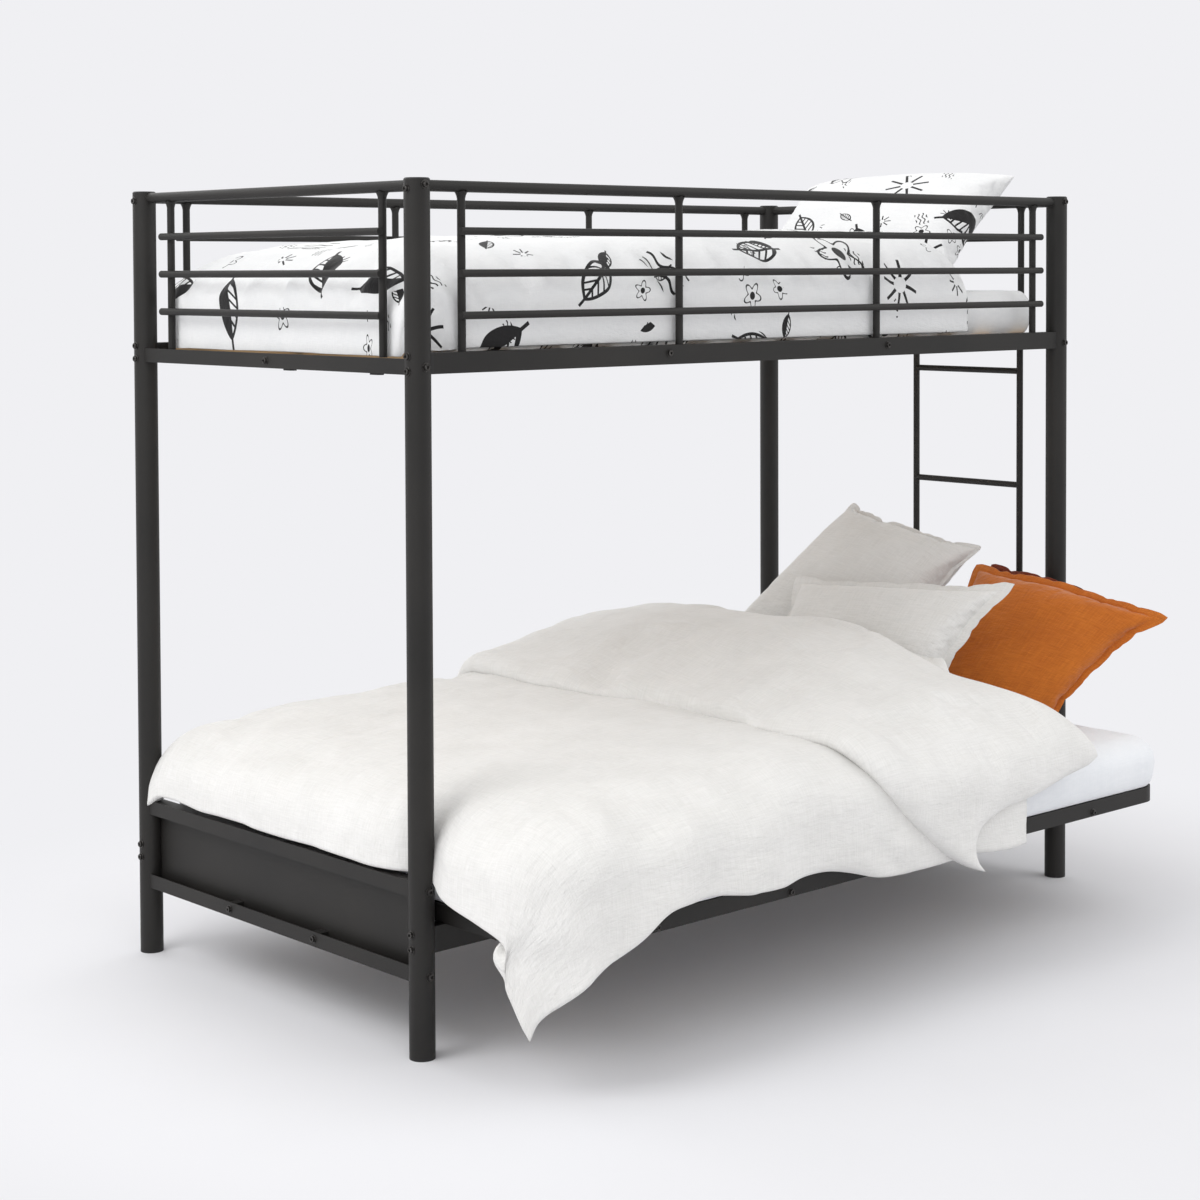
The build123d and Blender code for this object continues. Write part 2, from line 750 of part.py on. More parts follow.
# Pawls under the fold tube of the seat, lifted just clear of the ratchet teeth
pawl_back = -fold_gap / 2 + 2 * seat_gap
pawl_top = -fold_tube_height / 2 - weld_gap
with BuildPart() as pawls:
    for x, inward in ((x_left, 1), (x_right, -1)):
        third = x + inward * (mechanism_inset + 2 * (plate_thickness + plate_gap))
        with BuildSketch(Plane.YZ.offset(third)):
            with BuildLine():
                Polyline(
                    (fold_y - pawl_reach, fold_z - pawl_reach),
                    (fold_y + pawl_back, fold_z - pawl_reach),
                    (fold_y + pawl_back, fold_z + pawl_top),
                    (fold_y + pawl_back - pawl_length, fold_z + pawl_top),
                    (fold_y + pawl_back - pawl_length, fold_z + pawl_top - pawl_thickness),
                    (fold_y - pawl_reach, fold_z + pawl_top - pawl_thickness),
                    close=True,
                )
            make_face()
        extrude(amount=inward * plate_thickness)
write(pawls, "ratchet_pawls")

# Pivot pins with a head at each end
stack = 3 * plate_thickness + 2 * plate_gap
with BuildPart() as pivot_pins:
    for x, inward in ((x_left, 1), (x_right, -1)):
        start = x + inward * mechanism_inset
        for place, length in (
            (start - inward * seat_gap, -pivot_head_height),
            (start + inward * (stack + seat_gap), pivot_head_height),
        ):
            with BuildSketch(Plane.YZ.offset(place)):
                with Locations((fold_y, fold_z)):
                    RegularPolygon(pivot_head_diameter / 2, 6)
            extrude(amount=inward * length)
        with BuildSketch(Plane.YZ.offset(start - inward * seat_gap)):
            with Locations((fold_y, fold_z)):
                Circle(pivot_diameter / 2)
        extrude(amount=inward * (stack + 2 * seat_gap))
write(pivot_pins, "pivot_pins")


def tapered_layer(sketch, rise, draw_in):
    """One layer on a sketch, drawn in evenly over its height, in the current part."""
    extrude(sketch, amount=rise, taper=degrees(atan2(draw_in, abs(rise))))


# Mattresses: drawn-in sides and rounded corners, level by level
def mattress(length, width, middle_y, bottom, thickness):
    """One mattress lying flat."""
    with BuildPart() as body:
        for (low, low_inset), (high, high_inset) in zip(mattress_levels, mattress_levels[1:]):
            with BuildSketch(Plane.XY.offset(bottom + low * thickness)) as outline:
                with Locations((0, middle_y)):
                    RectangleRounded(
                        length - 2 * low_inset, width - 2 * low_inset, mattress_corner - low_inset
                    )
            tapered_layer(outline.sketch, (high - low) * thickness, high_inset - low_inset)
    return body


write(
    mattress(
        upper_mattress_length,
        upper_mattress_width,
        y_middle,
        upper_mattress_bottom,
        upper_mattress_thickness,
    ),
    "high_mattress",
)

# The mattress of the fold-out bed, in two halves and the strip that creases between them
low_mattress_front = fold_front - fold_mattress_overhang
low_mattress_width = fold_rear - low_mattress_front
low_mattress = mattress(
    fold_mattress_length,
    low_mattress_width,
    (low_mattress_front + fold_rear) / 2,
    fold_mattress_bottom,
    fold_mattress_thickness,
)
crease_front = fold_y - fold_crease_width / 2
crease_back = fold_y + fold_crease_width / 2
for name, start, end in (
    ("low_mattress_front", low_mattress_front - cut_margin, crease_front - weld_gap),
    ("low_mattress_crease", crease_front, crease_back),
    ("low_mattress_back", crease_back + weld_gap, fold_rear + cut_margin),
):
    with BuildPart() as piece:
        add(low_mattress.part)
        with BuildSketch(Plane.XY.offset(fold_mattress_bottom)):
            with Locations((0, (start + end) / 2)):
                Rectangle(fold_mattress_length + 2 * cut_margin, end - start)
        extrude(amount=fold_mattress_thickness, mode=Mode.INTERSECT)
    write(piece, name)


# Duvets: one section along the bed, cut to a side view and to a plan
def from_posts(points, other_base):
    """Points given from the left posts, and from the front posts or the floor."""
    return [(x_left + x, other_base + other) for x, other in points]


def section(shares, edge, inward, under, height):
    """Points of a duvet's section, from shares of its height."""
    return [(edge + inward * across * height, under + rise * height) for across, rise in shares]


duvet_under = fold_mattress_top + soft_gap
duvet_inner = low_mattress_front - duvet_stand_off
duvet_outer = duvet_inner - duvet_thickness
duvet_reach = y_front - duvet_front_reach
duvet_rear = fold_rear - duvet_rear_inset
duvet_height = low_duvet_crest - duvet_under
duvet_knee = duvet_under - duvet_thickness
duvet_lowest = min(z for x, z in low_duvet_hem_line)
duvet_left = x_left + low_duvet_top_line[0][0]
duvet_right = x_left + low_duvet_top_line[-1][0]
duvet_head = x_left + low_duvet_head_line[0][0]
mattress_left = -fold_mattress_length / 2
pillow_cut = white_pillow_front_size[0] + 2 * duvet_thickness
with BuildPart() as low_duvet:
    with BuildSketch(Plane.YZ.offset(duvet_left)):
        with BuildLine():
            Polyline(
                [(duvet_rear, duvet_lowest)]
                + section(low_duvet_rear_section, duvet_rear, -1, duvet_under, duvet_height)
                + section(low_duvet_front_section, duvet_outer, 1, duvet_under, duvet_height)
                + [
                    (duvet_outer, duvet_knee),
                    (duvet_reach, duvet_lowest + duvet_hem_depth),
                    (duvet_reach, duvet_lowest),
                ],
                close=True,
            )
        make_face()
    extrude(amount=duvet_right - duvet_left)
    with BuildSketch(Plane.XZ):
        with BuildLine():
            Polyline(from_posts(low_duvet_top_line + low_duvet_hem_line, 0), close=True)
        make_face()
    extrude(amount=post_spacing_y, both=True, mode=Mode.INTERSECT)
    with BuildSketch(Plane.XY):
        with BuildLine():
            Polyline(
                from_posts(low_duvet_head_line + low_duvet_fold_line, y_front)
                + [(duvet_left, duvet_rear), (duvet_head, duvet_rear)],
                close=True,
            )
        make_face()
    extrude(amount=low_duvet_crest, mode=Mode.INTERSECT)
    with BuildSketch(Plane.YZ.offset(mattress_left - soft_gap)):
        with BuildLine():
            Polyline(
                (duvet_inner, duvet_under),
                (duvet_inner, duvet_knee),
                (duvet_reach + duvet_thickness, 0),
                (y_back, 0),
                (y_back, duvet_under),
                close=True,
            )
        make_face()
    extrude(amount=post_spacing_x, mode=Mode.SUBTRACT)
    with BuildSketch(Plane.YZ.offset(duvet_left)):
        with BuildLine():
            Polyline(
                [(y_front + y, z) for y, z in low_duvet_end_hem_line]
                + [(y_back, low_end_top + duvet_rail_clearance), (y_back, 0), (duvet_reach, 0)],
                close=True,
            )
        make_face()
    extrude(amount=mattress_left - duvet_left, mode=Mode.SUBTRACT)
    with BuildSketch(Plane.XZ.offset(-y_front - low_duvet_pillow_side)):
        with BuildLine():
            Polyline(from_posts(low_duvet_pillow_line, 0), close=True)
        make_face()
    extrude(amount=-pillow_cut, mode=Mode.SUBTRACT)
    cut_round_posts(post_radius + soft_gap)
write(low_duvet, "low_duvet")

# The duvet of the high bed is tucked down inside the guards, round the mattress
near = y_front + high_duvet_side
far = y_back - high_duvet_side
high_under = upper_mattress_top + soft_gap
high_height = high_duvet_crest - high_under
high_left = x_left + high_duvet_top_line[0][0]
high_right = x_left + high_duvet_head_line[-1][0]
with BuildPart() as high_duvet:
    with BuildSketch(Plane.YZ.offset(high_left)):
        with BuildLine():
            Polyline(
                [(near, high_duvet_hem)]
                + section(high_duvet_section, near, 1, high_under, high_height)
                + section(high_duvet_section[::-1], far, -1, high_under, high_height)
                + [(far, high_duvet_hem)],
                close=True,
            )
        make_face()
    extrude(amount=high_right - high_left)
    with BuildSketch(Plane.XZ):
        with BuildLine():
            Polyline(
                from_posts(high_duvet_top_line, 0)
                + [
                    (high_right, high_duvet_crest),
                    (high_right, high_duvet_hem),
                    (high_left, high_duvet_hem),
                ],
                close=True,
            )
        make_face()
    extrude(amount=post_spacing_y, both=True, mode=Mode.INTERSECT)
    with BuildSketch(Plane.XY.offset(high_duvet_hem)):
        with BuildLine():
            Polyline(
                from_posts(high_duvet_head_line, y_front)
                + [
                    (high_left + high_duvet_corner, near),
                    (high_left, near + high_duvet_corner),
                    (high_left, far - high_duvet_corner),
                    (high_left + high_duvet_corner, far),
                    (x_left + high_duvet_head_start, far),
                ],
                close=True,
            )
        make_face()
    extrude(amount=high_duvet_crest - high_duvet_hem, mode=Mode.INTERSECT)
    with BuildSketch(Plane.XY.offset(high_duvet_hem)):
        with Locations((x_left + high_duvet_side + high_duvet_wall, y_middle)):
            Rectangle(
                post_spacing_x, far - near - 2 * high_duvet_wall, align=(Align.MIN, Align.CENTER)
            )
    extrude(amount=high_under - high_duvet_hem, mode=Mode.SUBTRACT)
write(high_duvet, "high_duvet")


# Pillows: crowned on both faces with thin edges, leaning back along the bed
pillow_levels = list(zip(pillow_shares, pillow_insets))


def crown_profile(size, thickness):
    """The closed outline of a pillow cut through its middle."""
    quarter = [(size / 2 - inset, share * thickness / 2) for share, inset in pillow_levels]
    upper = quarter + [(-x, z) for x, z in reversed(quarter)]
    return upper + [(x, -z) for x, z in reversed(upper)][1:-1]


def pillow(size, place, lean, floor):
    """One pillow that stands on a mattress on its long lower edge."""
    length, height, thickness = size
    slope = radians(lean)
    rise = max(
        sin(slope) * (height / 2 - inset) + cos(slope) * share * thickness / 2
        for share, inset in pillow_levels
    )
    plane = Plane(
        origin=(x_left + place[0], y_front + place[1], floor + rise + soft_gap),
        x_dir=(0, 1, 0),
        z_dir=(-sin(slope), 0, cos(slope)),
    )
    with BuildPart() as flat:
        for cut_plane, span, mode in (
            (Plane.XZ, length, Mode.ADD),
            (Plane.YZ, height, Mode.INTERSECT),
        ):
            with BuildSketch(cut_plane):
                with BuildLine():
                    Polyline(crown_profile(span, thickness), close=True)
                make_face()
            extrude(amount=length, both=True, mode=mode)
        with BuildSketch(Plane.XY) as outline:
            Rectangle(length, height)
            chamfer(outline.vertices(), length=pillow_corner)
        extrude(amount=thickness, both=True, mode=Mode.INTERSECT)
    with BuildPart() as leaning:
        add(flat.part.moved(plane.location))
    return leaning


for name, size, place, lean, floor in (
    (
        "white_pillow_front",
        white_pillow_front_size,
        white_pillow_front_place,
        white_pillow_front_lean,
        fold_mattress_top,
    ),
    (
        "white_pillow_back",
        white_pillow_back_size,
        white_pillow_back_place,
        white_pillow_back_lean,
        fold_mattress_top,
    ),
    ("ochre_pillow", ochre_pillow_size, ochre_pillow_place, ochre_pillow_lean, fold_mattress_top),
    ("rust_pillow", rust_pillow_size, rust_pillow_place, rust_pillow_lean, fold_mattress_top),
    ("high_pillow", high_pillow_size, high_pillow_place, high_pillow_lean, upper_mattress_top),
):
    write(pillow(size, place, lean, floor), name)
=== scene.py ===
import bpy
import json
import math
import numpy as np
from mathutils import Matrix, Vector


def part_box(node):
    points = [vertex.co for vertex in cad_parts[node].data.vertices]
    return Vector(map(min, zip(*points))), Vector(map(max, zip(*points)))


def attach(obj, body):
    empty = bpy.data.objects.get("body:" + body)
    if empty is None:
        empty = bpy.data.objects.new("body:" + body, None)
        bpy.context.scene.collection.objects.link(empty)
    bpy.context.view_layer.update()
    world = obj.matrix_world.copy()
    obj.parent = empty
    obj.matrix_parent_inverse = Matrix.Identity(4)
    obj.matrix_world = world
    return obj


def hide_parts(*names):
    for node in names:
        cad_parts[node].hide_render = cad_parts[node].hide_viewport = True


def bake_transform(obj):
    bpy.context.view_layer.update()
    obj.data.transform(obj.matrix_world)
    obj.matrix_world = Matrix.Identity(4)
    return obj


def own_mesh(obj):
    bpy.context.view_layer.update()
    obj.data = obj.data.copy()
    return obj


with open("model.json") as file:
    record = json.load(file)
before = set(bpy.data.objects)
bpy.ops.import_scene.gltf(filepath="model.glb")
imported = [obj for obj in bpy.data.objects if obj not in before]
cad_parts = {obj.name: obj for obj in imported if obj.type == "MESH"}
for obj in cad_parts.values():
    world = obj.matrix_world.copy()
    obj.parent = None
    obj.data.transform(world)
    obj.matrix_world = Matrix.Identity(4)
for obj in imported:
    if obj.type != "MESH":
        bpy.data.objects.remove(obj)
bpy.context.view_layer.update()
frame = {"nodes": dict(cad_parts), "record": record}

# Places of the frame, in metres
X_POST = 0.98
Y_FRONT = -0.2815
Y_BACK = 0.6815
Y_MIDDLE = 0.2


# Helpers for numbers

def smooth(value, low, high):
    """0 below low, 1 above high, and an even ease between them."""
    t = np.clip((value - low) / (high - low), 0, 1)
    return t * t * (3 - 2 * t)


def curve(value, points):
    """A soft line through (value, result) pairs."""
    xs = np.array([p[0] for p in points], float)
    ys = np.array([p[1] for p in points], float)
    slopes = np.gradient(ys, xs)
    v = np.clip(value, xs[0], xs[-1])
    k = np.clip(np.searchsorted(xs, v, side="right") - 1, 0, len(xs) - 2)
    step = xs[k + 1] - xs[k]
    t = (v - xs[k]) / step
    return (
        (2 * t**3 - 3 * t**2 + 1) * ys[k]
        + (t**3 - 2 * t**2 + t) * step * slopes[k]
        + (-2 * t**3 + 3 * t**2) * ys[k + 1]
        + (t**3 - t**2) * step * slopes[k + 1]
    )


def bumps(x, y, size, seed):
    """Smooth seeded noise between about -1 and 1 over a plane."""
    cells = 64
    table = np.random.default_rng(seed).uniform(0, 2 * math.pi, (cells, cells))
    gx, gy = x / size, y / size
    ix, iy = np.floor(gx).astype(int), np.floor(gy).astype(int)
    fx, fy = gx - ix, gy - iy
    sx, sy = fx**3 * (fx * (6 * fx - 15) + 10), fy**3 * (fy * (6 * fy - 15) + 10)
    total = 0
    for dx in (0, 1):
        for dy in (0, 1):
            angle = table[(ix + dx) % cells, (iy + dy) % cells]
            dot = np.cos(angle) * (fx - dx) + np.sin(angle) * (fy - dy)
            total = total + dot * (sx if dx else 1 - sx) * (sy if dy else 1 - sy)
    gain = 1.5
    return total * gain


def grid_normals(points):
    """Unit normals of a grid of points, from its own lines."""
    along = np.gradient(points, axis=0)
    across = np.gradient(points, axis=1)
    n = np.cross(along, across)
    return n / np.maximum(np.linalg.norm(n, axis=2, keepdims=True), 1e-12)


# Helpers for meshes

def new_object(name, verts, faces, material, uv=None, smooth_shade=True):
    """A mesh object, with an optional flat coordinate for each vertex."""
    mesh = bpy.data.meshes.new(name)
    mesh.from_pydata([tuple(v) for v in verts], [], faces)
    mesh.validate()
    if smooth_shade:
        mesh.polygons.foreach_set("use_smooth", [True] * len(mesh.polygons))
    if uv is not None:
        layer = mesh.uv_layers.new(name="flat")
        loops = np.zeros(len(mesh.loops), np.int32)
        mesh.loops.foreach_get("vertex_index", loops)
        layer.data.foreach_set("uv", np.asarray(uv, np.float32)[loops].ravel())
    mesh.materials.append(material)
    mesh.update()
    obj = bpy.data.objects.new(name, mesh)
    bpy.context.scene.collection.objects.link(obj)
    return obj


def shell(name, top, bottom, material, flat):
    """A closed cloth piece between two grids that share their outline."""
    rows, cols = top.shape[:2]
    count = rows * cols
    index = np.arange(count).reshape(rows, cols)
    edge = np.zeros((rows, cols), bool)
    edge[0, :] = edge[-1, :] = edge[:, 0] = edge[:, -1] = True
    verts = [tuple(p) for p in top.reshape(-1, 3)]
    lower = index.copy()
    flats = [tuple(f) for f in flat.reshape(-1, 2)]
    for r in range(rows):
        for c in range(cols):
            if not edge[r, c]:
                lower[r, c] = len(verts)
                verts.append(tuple(bottom[r, c]))
                flats.append(tuple(flat[r, c]))
    faces = []
    for r in range(rows - 1):
        for c in range(cols - 1):
            faces.append((index[r, c], index[r + 1, c], index[r + 1, c + 1], index[r, c + 1]))
            faces.append((lower[r, c], lower[r, c + 1], lower[r + 1, c + 1], lower[r + 1, c]))
    points, quads = np.array(verts, float), np.array(faces)
    points = points - points.mean(0)

    # Faces turned outward, by the sign of the enclosed volume
    a, b, c, d = (points[quads[:, n]] for n in range(4))
    volume = (a * np.cross(b, c)).sum() + (a * np.cross(c, d)).sum()
    if volume < 0:
        quads = quads[:, ::-1]
    return new_object(name, verts, quads.tolist(), material, flats)


# Materials

def srgb(r, g, b):
    """Linear colour of an sRGB byte triple."""
    return tuple(
        (c / 255 / 12.92) if c <= 10 else ((c / 255 + 0.055) / 1.055) ** 2.4
        for c in (r, g, b)
    )


class Nodes:
    """A material and short ways to add nodes to it."""

    def __init__(self, name, rough, **sockets):
        self.mat = bpy.data.materials.new(name)
        self.mat.use_nodes = True
        self.tree = self.mat.node_tree
        self.shader = self.tree.nodes["Principled BSDF"]
        self.shader.inputs["Roughness"].default_value = rough
        for socket, value in sockets.items():
            self.shader.inputs[socket.replace("_", " ")].default_value = value

    def node(self, kind, **settings):
        made = self.tree.nodes.new(kind)
        for key, value in settings.items():
            setattr(made, key, value)
        return made

    def link(self, source, target):
        self.tree.links.new(source, target)

    def put(self, target, value):
        if isinstance(value, bpy.types.NodeSocket):
            self.link(value, target)
        else:
            target.default_value = value

    def math(self, operation, a, b=0.0):
        made = self.node("ShaderNodeMath", operation=operation)
        self.put(made.inputs[0], a)
        self.put(made.inputs[1], b)
        return made.outputs[0]

    def coords(self, kind, scale=(1, 1, 1), turn=0.0):
        source = self.node("ShaderNodeTexCoord").outputs[kind]
        mapping = self.node("ShaderNodeMapping")
        mapping.inputs["Scale"].default_value = scale
        mapping.inputs["Rotation"].default_value = (0, 0, turn)
        self.link(source, mapping.inputs["Vector"])
        return mapping.outputs["Vector"]

    def noise(self, vector, scale, detail=2.0, rough=0.5):
        made = self.node("ShaderNodeTexNoise")
        self.link(vector, made.inputs["Vector"])
        made.inputs["Scale"].default_value = scale
        made.inputs["Detail"].default_value = detail
        made.inputs["Roughness"].default_value = rough
        return made.outputs["Fac"]

    def ramp(self, value, stops):
        made = self.node("ShaderNodeValToRGB")
        self.link(value, made.inputs["Fac"])
        elements = made.color_ramp.elements
        while len(elements) < len(stops):
            elements.new(0.5)
        for element, (place, color) in zip(elements, stops):
            element.position = place
            element.color = (*color, 1)
        return made.outputs["Color"]

    def mix(self, factor, a, b):
        made = self.node("ShaderNodeMix", data_type="RGBA")
        self.put(made.inputs[0], factor)
        for socket, value in ((made.inputs[6], a), (made.inputs[7], b)):
            self.put(socket, (*value, 1) if isinstance(value, tuple) else value)
        return made.outputs[2]

    def bump(self, height, distance, strength=1.0, under=None):
        made = self.node("ShaderNodeBump")
        made.inputs["Strength"].default_value = strength
        made.inputs["Distance"].default_value = distance
        self.link(height, made.inputs["Height"])
        if under is not None:
            self.link(under, made.inputs["Normal"])
        return made.outputs["Normal"]

    def color(self, value):
        self.put(self.shader.inputs["Base Color"], value)

    def normal(self, value):
        self.link(value, self.shader.inputs["Normal"])


def cloth_material(name, light, dark, slub, thread, crease, rough=0.92, sheen=0.25):
    """Woven cloth: uneven threads both ways, a faint weave and soft creases."""
    m = Nodes(name, rough, Sheen_Weight=sheen, Sheen_Roughness=0.5, Specular_IOR_Level=0.25)
    along = thread * 0.045
    warp = m.noise(m.coords("UV", (thread, along, 1)), 1.0, 2.0)
    weft = m.noise(m.coords("UV", (along, thread, 1)), 1.0, 2.0)
    cloudy = m.noise(m.coords("UV"), 7.0, 3.0)
    threads = m.math("ADD", m.math("MULTIPLY", warp, 0.5), m.math("MULTIPLY", weft, 0.5))
    shade = m.math("MULTIPLY", cloudy, 1 - slub)
    shade = m.math("ADD", m.math("MULTIPLY", threads, slub), shade)
    m.color(m.ramp(shade, [(0.32, dark), (0.62, light)]))
    creases = m.noise(m.coords("UV", (1, 2.2, 1), 0.6), 16.0, 5.0, 0.62)
    base = m.bump(creases, crease)
    m.normal(m.bump(threads, 0.0007, 0.8, base))
    return m


LINEN = (0.7, 420, 0.006)
white_linen = cloth_material("white_linen", srgb(234, 233, 231), srgb(219, 218, 215), *LINEN).mat
sheet_cotton = cloth_material(
    "sheet_cotton", srgb(238, 240, 243), srgb(228, 231, 235), 0.6, 900, 0.003
).mat
ochre_linen = cloth_material(
    "ochre_linen", srgb(206, 117, 40), srgb(172, 88, 24), *LINEN, rough=0.9, sheen=0.3
).mat
rust_linen = cloth_material(
    "rust_linen", srgb(134, 56, 28), srgb(100, 38, 18), *LINEN, rough=0.9, sheen=0.3
).mat


def print_layer(m, cell, turn, thin, seed):
    """Scattered line drawings: leaves, bursts, flowers and ripples, one in each cell."""
    full_turn = 6.283
    source = m.coords("UV", (1, 1, 1), turn)
    shifted = m.node("ShaderNodeVectorMath", operation="ADD")
    m.link(source, shifted.inputs[0])
    shifted.inputs[1].default_value = (seed * 0.37, seed * 0.73, 0)
    cells = m.node("ShaderNodeTexVoronoi", voronoi_dimensions="2D", feature="F1")
    cells.inputs["Scale"].default_value = 1 / cell
    cells.inputs["Randomness"].default_value = 0.45
    m.link(shifted.outputs[0], cells.inputs["Vector"])
    local = m.node("ShaderNodeVectorMath", operation="SUBTRACT")
    m.link(shifted.outputs[0], local.inputs[0])
    m.link(cells.outputs["Position"], local.inputs[1])
    pick = m.node("ShaderNodeSeparateColor")
    m.link(cells.outputs["Color"], pick.inputs[0])
    rotated = m.node("ShaderNodeVectorRotate", rotation_type="Z_AXIS")
    m.link(local.outputs[0], rotated.inputs["Vector"])
    m.link(m.math("MULTIPLY", pick.outputs["Red"], full_turn), rotated.inputs["Angle"])
    parts = m.node("ShaderNodeSeparateXYZ")
    m.link(rotated.outputs[0], parts.inputs[0])
    size = m.math("ADD", m.math("MULTIPLY", pick.outputs["Blue"], cell * 0.12), cell * 0.24)
    x = m.math("DIVIDE", parts.outputs["X"], size)
    y = m.math("DIVIDE", parts.outputs["Y"], size)
    width = thin / (cell * 0.3)

    def line(distance, half=width):
        return m.math("LESS_THAN", m.math("ABSOLUTE", distance), half)

    def both(a, b):
        return m.math("MULTIPLY", a, b)

    def either(a, b):
        return m.math("MAXIMUM", a, b)

    def reach(dx, dy):
        return m.math("SQRT", m.math("ADD", both(dx, dx), both(dy, dy)))

    def disc(cx, cy, radius):
        away = reach(m.math("SUBTRACT", x, cx), m.math("SUBTRACT", y, cy))
        return m.math("SUBTRACT", away, radius)

    def stripes(value, density):
        return m.math("SUBTRACT", m.math("FRACT", m.math("MULTIPLY", value, density)), 0.5)

    far = reach(x, y)
    leaf_edge = either(disc(0.75, 0, 1.2), disc(-0.75, 0, 1.2))
    in_leaf = m.math("LESS_THAN", leaf_edge, 0.0)
    vein = both(line(x), m.math("LESS_THAN", m.math("ABSOLUTE", y), 1.25))
    ribs = stripes(m.math("SUBTRACT", y, m.math("ABSOLUTE", x)), 3.0)
    ribs = both(line(ribs, width * 3.0), in_leaf)
    solid = both(in_leaf, m.math("GREATER_THAN", x, 0.0))
    solid = both(solid, m.math("GREATER_THAN", pick.outputs["Blue"], 0.45))
    leaf = either(either(line(leaf_edge), vein), either(ribs, solid))

    angle = m.math("ARCTAN2", y, x)
    spokes = m.math("SINE", m.math("MULTIPLY", angle, 4.0))
    spokes = line(both(spokes, m.math("MULTIPLY", far, 0.25)))
    in_burst = m.math("LESS_THAN", far, 0.85)
    burst = both(both(spokes, in_burst), m.math("GREATER_THAN", far, 0.25))

    petals = m.math("COSINE", m.math("MULTIPLY", angle, 5.0))
    petals = m.math("ADD", m.math("MULTIPLY", petals, 0.2), 0.62)
    petals = m.math("SUBTRACT", far, petals)
    flower = either(line(petals), m.math("LESS_THAN", far, 0.24))

    wave = m.math("MULTIPLY", m.math("SINE", m.math("MULTIPLY", x, 7.0)), 0.1)
    wave = stripes(m.math("SUBTRACT", y, wave), 2.5)
    block = m.math("ABSOLUTE", m.math("MULTIPLY", y, 1.4))
    block = m.math("LESS_THAN", either(m.math("ABSOLUTE", x), block), 0.8)
    ripples = both(line(wave, width * 2.4), block)

    # Each cell's own value picks its drawing, and a share of the cells stays blank
    choice = pick.outputs["Green"]
    leaf_to, burst_to, flower_to, ripples_to = 0.34, 0.52, 0.76, 0.92
    ink = both(leaf, m.math("LESS_THAN", choice, leaf_to))
    for drawing, low, high in (
        (burst, leaf_to, burst_to), (flower, burst_to, flower_to), (ripples, flower_to, ripples_to)
    ):
        here = both(m.math("GREATER_THAN", choice, low), m.math("LESS_THAN", choice, high))
        ink = either(ink, both(drawing, here))
    return ink


def printed_material(name):
    """White cotton with scattered black line drawings."""
    made = cloth_material(
        name, srgb(241, 241, 241), srgb(229, 230, 231), 0.6, 900, 0.004, rough=0.85, sheen=0.15
    )
    ground = made.shader.inputs["Base Color"].links[0].from_socket
    large = print_layer(made, cell=0.225, turn=0.3, thin=0.0034, seed=3)
    small = print_layer(made, cell=0.09, turn=1.1, thin=0.0016, seed=7)
    apart = made.math("GREATER_THAN", made.noise(made.coords("UV"), 5.0, 0.0), 0.56)
    ink = made.math("MAXIMUM", large, made.math("MULTIPLY", small, apart))
    made.color(made.mix(ink, ground, srgb(34, 33, 34)))
    return made.mat


printed_cotton = printed_material("printed_cotton")


def painted_metal():
    """Textured dark powder coat with faint rubbing and dust."""
    m = Nodes("frame_metal", 0.5, Specular_IOR_Level=0.3)
    place = m.coords("Object")
    broad = m.noise(place, 3.0, 4.0)
    grain = m.noise(place, 900.0, 2.0, 0.7)
    shade = m.math("ADD", m.math("MULTIPLY", broad, 0.7), m.math("MULTIPLY", grain, 0.3))
    m.color(m.ramp(shade, [(0.35, srgb(27, 26, 25)), (0.65, srgb(42, 40, 38))]))
    m.put(m.shader.inputs["Roughness"], m.math("ADD", m.math("MULTIPLY", broad, 0.16), 0.42))
    m.normal(m.bump(grain, 0.0004, 0.5))
    return m.mat


def moulded_plastic():
    """Fine-grained black plastic."""
    m = Nodes("black_plastic", 0.5, Specular_IOR_Level=0.4)
    grain = m.noise(m.coords("Object"), 1500.0, 2.0)
    m.color(m.ramp(grain, [(0.3, srgb(20, 19, 19)), (0.7, srgb(32, 31, 31))]))
    m.normal(m.bump(grain, 0.0002, 0.4))
    return m.mat


def slat_ply():
    """Pale laminated wood with long grain."""
    m = Nodes("slat_wood", 0.55)
    grain = m.noise(m.coords("Object", (60, 3, 60)), 1.0, 5.0, 0.6)
    rings = m.noise(m.coords("Object", (14, 0.8, 14)), 1.0, 2.0)
    shade = m.math("ADD", m.math("MULTIPLY", grain, 0.6), m.math("MULTIPLY", rings, 0.4))
    m.color(m.ramp(shade, [(0.3, srgb(184, 144, 98)), (0.7, srgb(222, 190, 146))]))
    m.normal(m.bump(grain, 0.0006, 0.5))
    return m.mat


def plated_steel():
    """Dull zinc plate with faint spangle."""
    m = Nodes("zinc_steel", 0.38, Metallic=1.0)
    spangle = m.noise(m.coords("Object"), 260.0, 3.0)
    m.color(m.ramp(spangle, [(0.3, srgb(146, 148, 150)), (0.7, srgb(186, 188, 190))]))
    m.normal(m.bump(spangle, 0.0002, 0.4))
    return m.mat


frame_metal = painted_metal()
black_plastic = moulded_plastic()
slot_of = {s["node"]: s["material_slot"] for s in frame["record"]["subparts"]}
finishes = {
    "frame_metal": frame_metal,
    "black_plastic": black_plastic,
    "slat_wood": slat_ply(),
    "zinc_steel": plated_steel(),
}
for name, node in frame["nodes"].items():
    node.data.materials.clear()
    node.data.materials.append(finishes.get(slot_of[name], white_linen))


# Cloth simulation

def evaluated(obj):
    """The object with its modifiers applied."""
    return obj.evaluated_get(bpy.context.evaluated_depsgraph_get())


